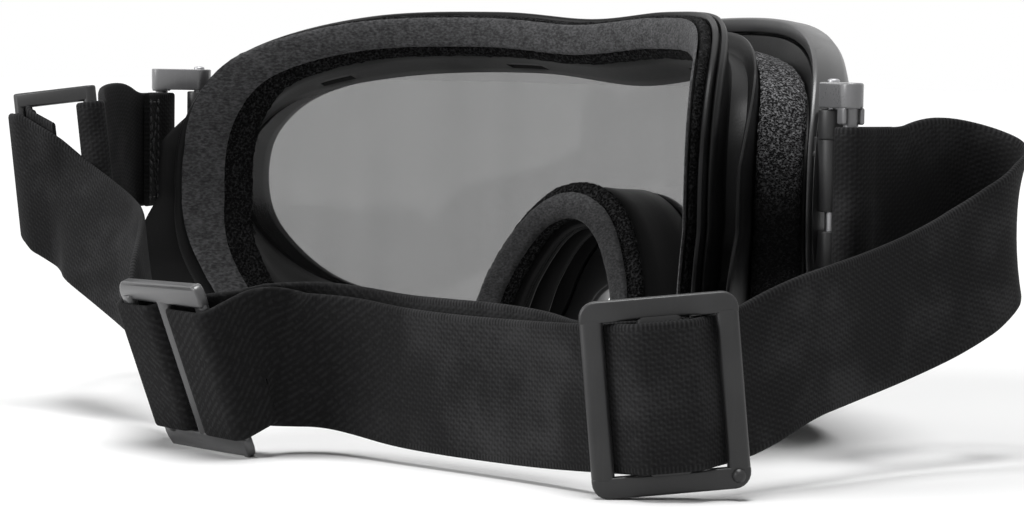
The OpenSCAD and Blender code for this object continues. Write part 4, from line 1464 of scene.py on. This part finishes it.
class StitchTree(NodeMaker):
    """Geometry Nodes tree that lays stitches along the lines of a mesh."""

    def __init__(self) -> None:
        """Builds the tree with its named inputs."""
        super().__init__(bpy.data.node_groups.new("stitch_rows", "GeometryNodeTree"))
        face = self.tree.interface
        face.new_socket("Lines", in_out="INPUT", socket_type="NodeSocketGeometry")
        self.ids = {}
        for name, value in (("Spacing", 2.0), ("Stitch Length", 1.4), ("Thread Radius", 0.22)):
            socket = face.new_socket(name, in_out="INPUT", socket_type="NodeSocketFloat")
            socket.default_value = value * MM
            self.ids[name] = socket.identifier
        socket = face.new_socket("Thread", in_out="INPUT", socket_type="NodeSocketMaterial")
        self.ids["Thread"] = socket.identifier
        face.new_socket("Stitches", in_out="OUTPUT", socket_type="NodeSocketGeometry")
        source = self.add("NodeGroupInput")
        curve = self.add("GeometryNodeMeshToCurve", inputs={"Mesh": source.outputs["Lines"]})
        evenly = self.add("GeometryNodeResampleCurve", {"mode": "LENGTH"},
                          {"Curve": curve.outputs[0], "Length": source.outputs["Spacing"]})
        bead = self.add("GeometryNodeMeshUVSphere",
                        inputs={"Segments": 8, "Rings": 6, "Radius": 1.0})
        size = self.add("ShaderNodeCombineXYZ", inputs={
            "X": self.half(source.outputs["Stitch Length"]), "Y": source.outputs["Thread Radius"],
            "Z": source.outputs["Thread Radius"]})
        stitch = self.add("GeometryNodeTransform", inputs={
            "Geometry": bead.outputs["Mesh"], "Scale": size.outputs[0]})
        tangent = self.add("GeometryNodeInputTangent")
        turn = self.add("FunctionNodeAlignRotationToVector", {"axis": "X"},
                        {"Vector": tangent.outputs[0]})
        laid = self.add("GeometryNodeInstanceOnPoints", inputs={
            "Points": evenly.outputs[0], "Instance": stitch.outputs[0],
            "Rotation": turn.outputs[0]})
        real = self.add("GeometryNodeRealizeInstances", inputs={"Geometry": laid.outputs[0]})
        dressed = self.add("GeometryNodeSetMaterial", inputs={
            "Geometry": real.outputs[0], "Material": source.outputs["Thread"]})
        self.add("NodeGroupOutput", inputs={0: dressed.outputs[0]})

    def half(self, socket: Socket) -> Socket:
        """Half of a number input."""
        return self.add("ShaderNodeMath", {"operation": "MULTIPLY"}, {0: socket, 1: 0.5}).outputs[0]

    def sew(self, name: str, lines: Sequence[np.ndarray], spacing: float = 1.9) -> Piece:
        """Sews a stitch every spacing millimetres along rows of places, as a plain mesh."""
        points, edges = [], []
        for line in lines:
            start = len(points)
            points += [tuple(p) for p in placed(line)]
            edges += [(start + i, start + i + 1) for i in range(len(line) - 1)]
        mesh = bpy.data.meshes.new(name)
        mesh.from_pydata(points, edges, [])
        obj = linked(name, mesh)
        rows = obj.modifiers.new("stitches", "NODES")
        rows.node_group = self.tree
        rows[self.ids["Spacing"]] = spacing * MM
        rows[self.ids["Stitch Length"]] = spacing * 0.78 * MM
        rows[self.ids["Thread"]] = THREAD.material()
        bake_modifiers(obj)
        obj.data.shade_smooth()
        return obj


@dataclass(frozen=True)
class Bend:
    """A moving body and two places in millimetres, given for one piece of a strap."""

    body: Body
    start: Spot
    end: Spot

    def apply(self, obj: Piece) -> None:
        """Bakes the piece's transform into its mesh."""
        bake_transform(obj)


@dataclass
class Headband:
    """The straps with their sewing, cut where one stretch moves apart from the next."""

    webbing: Webbing
    stitches: StitchTree

    def lay(self, ribbon: Ribbon, node: str, cuts: Sequence[tuple[str, float]],
            bends: Sequence[Bend | None]) -> list[Piece]:
        """Makes a strap's pieces, cut at steps of named stretches; those without a bend ride the
        goggles.
        """
        rows = [0, *(ribbon.row_at(*cut) for cut in cuts), len(ribbon.middle) - 1]
        pieces = []
        for i, bend in enumerate(bends):
            obj = ribbon.piece(f"{node}_{'abcdefgh'[i]}", rows[i], rows[i + 1])
            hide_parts(node)
            if bend is None:
                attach(obj, Body.GOGGLES.value)
            else:
                bend.apply(obj)
            pieces.append(obj)
        return pieces

    def tack(self, name: str, ribbon: Ribbon, first: int, last: int, face: float,
             bend: Bend) -> Piece:
        """Sews a box with a cross over a lap between two rows, on face 1 or -1."""
        edge = STRAP_W / 2 - 2.2
        rows = range(first, last + 1)
        across = np.linspace(-edge, edge, 24)
        share = np.linspace(0, len(rows) - 1, 24).astype(int)
        lines = [np.array([ribbon.spot(k, w, face) for k in rows]) for w in (-edge, edge)]
        lines += [np.array([ribbon.spot(k, w, face) for w in across]) for k in (first, last)]
        lines += [np.array([ribbon.spot(first + k, w, face) for k, w in zip(share, ws)])
                  for ws in (across, across[::-1])]
        obj = self.stitches.sew(name, lines)
        bend.apply(obj)
        return obj

    def build(self) -> list[Piece]:
        """Makes all the straps and their sewing."""
        w = self.webbing
        left = Bend(Body.LEFT_CLIP, (84, 72, 57), (95, 53, 57))
        ring = Bend(Body.RING, (46, 98, 35), (60, 98, 41))
        link_side = Bend(Body.LINK, (34, 102, 31), (10, 117, 22))
        slider = Bend(Body.ADJUSTER, (-66, 103, 18), (-90, 100, 18))
        slider_end = Bend(Body.ADJUSTER, (-116.6, 60, 27), (-114.5, 80, 23))
        link = Bend(Body.LINK, (-42, 103, 18), (-20, 109, 20))
        right = Bend(Body.RIGHT_CLIP, (-124.5, 28, 40), (-113, 5, 48))
        pieces: list[Piece] = []
        anchor = Ribbon(w.anchor_route(), w.thickness)
        pieces += self.lay(anchor, "anchor_strap", [], [left])
        side = Ribbon(w.side_route(), w.thickness, 1.0)
        pieces += self.lay(side, "side_strap", [("run", 2)], [ring, link_side])
        main = Ribbon(w.main_route(), w.thickness)
        pieces += self.lay(
            main, "main_strap",
            [("out_run", 1), ("out_run", 3), ("back_run", 3), ("back_run", 5), ("slider_pass", 9),
             ("end_run", 1)],
            [slider, None, link, None, slider, slider_end, right])
        lap = main.row_at("clip_loop", 11), len(main.middle) - 4
        pieces.append(self.tack("clip_lap_sewing", main, *lap, 1, right))
        lap = 3, anchor.row_at("clip_loop", 1)
        pieces.append(self.tack("anchor_lap_sewing", anchor, *lap, 1, left))
        return pieces


# Studio


@dataclass
class Studio:
    """Camera, floor, background and lamps."""

    eye: Spot = (-0.4251, 0.4380, 0.0784)
    yaw: float = 0.749
    pitch: float = 0.069
    roll: float = 0.014
    focal_px: float = 2883.0
    image_width: float = 1024.0
    fill: float = 0.05
    sun: float = 2.9
    side_sun: float = 1.8

    def camera(self) -> Piece:
        """Makes the camera at the photograph's place and turn."""
        ahead = Vector((math.sin(self.yaw) * math.cos(self.pitch),
                        -math.cos(self.yaw) * math.cos(self.pitch), -math.sin(self.pitch)))
        right = ahead.cross(Vector((0, 0, 1))).normalized()
        up = right.cross(ahead)
        r = right * math.cos(self.roll) + up * math.sin(self.roll)
        u = up * math.cos(self.roll) - right * math.sin(self.roll)
        data = bpy.data.cameras.new("camera")
        data.sensor_width = 36.0
        data.lens = self.focal_px * data.sensor_width / self.image_width
        data.clip_start, data.clip_end = 0.01, 50.0
        obj = linked("camera", data)
        turn = Matrix((r, u, -ahead)).transposed().to_4x4()
        obj.matrix_world = Matrix.Translation(self.eye) @ turn
        bpy.context.scene.camera = obj
        return obj

    def floor(self) -> Piece:
        """Makes the pale floor."""
        steps = np.linspace(-6, 6, 7)
        points = [(x, y, 0.0) for x in steps for y in steps]
        mesh = bpy.data.meshes.new("floor")
        mesh.from_pydata(points, [], quads(7, 7, open_rows=True))
        obj = linked("floor", mesh)
        g = Graph("pale_floor")
        cloud = g.noise(0.8, 2.0)
        mesh.materials.append(g.finish(
            Base_Color=g.blend(cloud, (0.9, 0.9, 0.9), (0.93, 0.93, 0.93)), Roughness=0.9,
            Specular_IOR_Level=0.1))
        return obj

    def background(self) -> None:
        """Makes the white background and the even light from all round."""
        world = bpy.data.worlds.new("white_room")
        world.use_nodes = True
        maker = NodeMaker(world.node_tree)
        seen, soft = (
            maker.add("ShaderNodeBackground", inputs={"Color": (1, 1, 1, 1), "Strength": strength})
            for strength in (1.0, self.fill))
        rays = maker.add("ShaderNodeLightPath").outputs
        total = rays["Is Camera Ray"]
        for name in ("Is Glossy Ray", "Is Transmission Ray"):
            either = maker.add("ShaderNodeMath", {"operation": "MAXIMUM"},
                               {0: total, 1: rays[name]})
            total = either.outputs[0]
        both = maker.add("ShaderNodeMixShader",
                         inputs={0: total, 1: soft.outputs[0], 2: seen.outputs[0]})
        maker.add("ShaderNodeOutputWorld", inputs={"Surface": both.outputs[0]})
        bpy.context.scene.world = world

    def lamp(self, name: str, place: Spot, angle: float, power: float) -> None:
        """Hangs a far, soft lamp that points at the goggles from a place."""
        data = bpy.data.lights.new(name, "SUN")
        data.angle, data.energy = math.radians(angle), power
        obj = linked(name, data)
        obj.location = place
        obj.rotation_mode = "QUATERNION"
        obj.rotation_quaternion = (Vector((0, 0, 0.04)) - Vector(place)).to_track_quat("-Z", "Y")

    def build(self) -> None:
        """Makes the whole studio."""
        self.camera()
        self.floor()
        self.background()
        self.lamp("top_lamp", (0.0, 0.08, 1.2), 30.0, self.sun)
        self.lamp("left_lamp", (0.6, 1.0, 0.55), 30.0, self.side_sun)
        bpy.context.scene.view_settings.view_transform = "Standard"


def report(pieces: Sequence[Piece]) -> None:
    """Logs each piece with its number of faces."""
    for obj in pieces:
        log.info("%s: %d faces", obj.name, len(obj.data.polygons))


def main() -> None:
    """Builds the studio and every piece, and logs each piece's number of faces."""
    logging.basicConfig(level=logging.INFO, format="%(name)s: %(message)s")
    Studio().build()
    outline = GoggleOutline()
    front = FrontShell(outline)
    pieces = [FrameShell(outline).build(), front.front(), front.gasket(), front.lens()]
    pieces += Padding(GoggleOutline(steps=24)).build()
    for side in Side:
        pieces += TempleClip(side, outline).build()
    webbing = Webbing()
    pieces += [
        RingBuckle(webbing.ring).build(),
        Slider("link_buckle", "link_slider", Body.LINK, webbing.link, webbing.link_bar, sway=1.0,
               finish=LINK_PLASTIC_PAINTED_LIGHT).build(),
        Slider("adjust_buckle", "adjust_slider", Body.ADJUSTER, webbing.adjust, webbing.mid_bar,
               boss=True).build()]
    pieces += Headband(webbing, StitchTree()).build()
    report(pieces)
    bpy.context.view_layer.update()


if __name__ == "__main__":
    main()
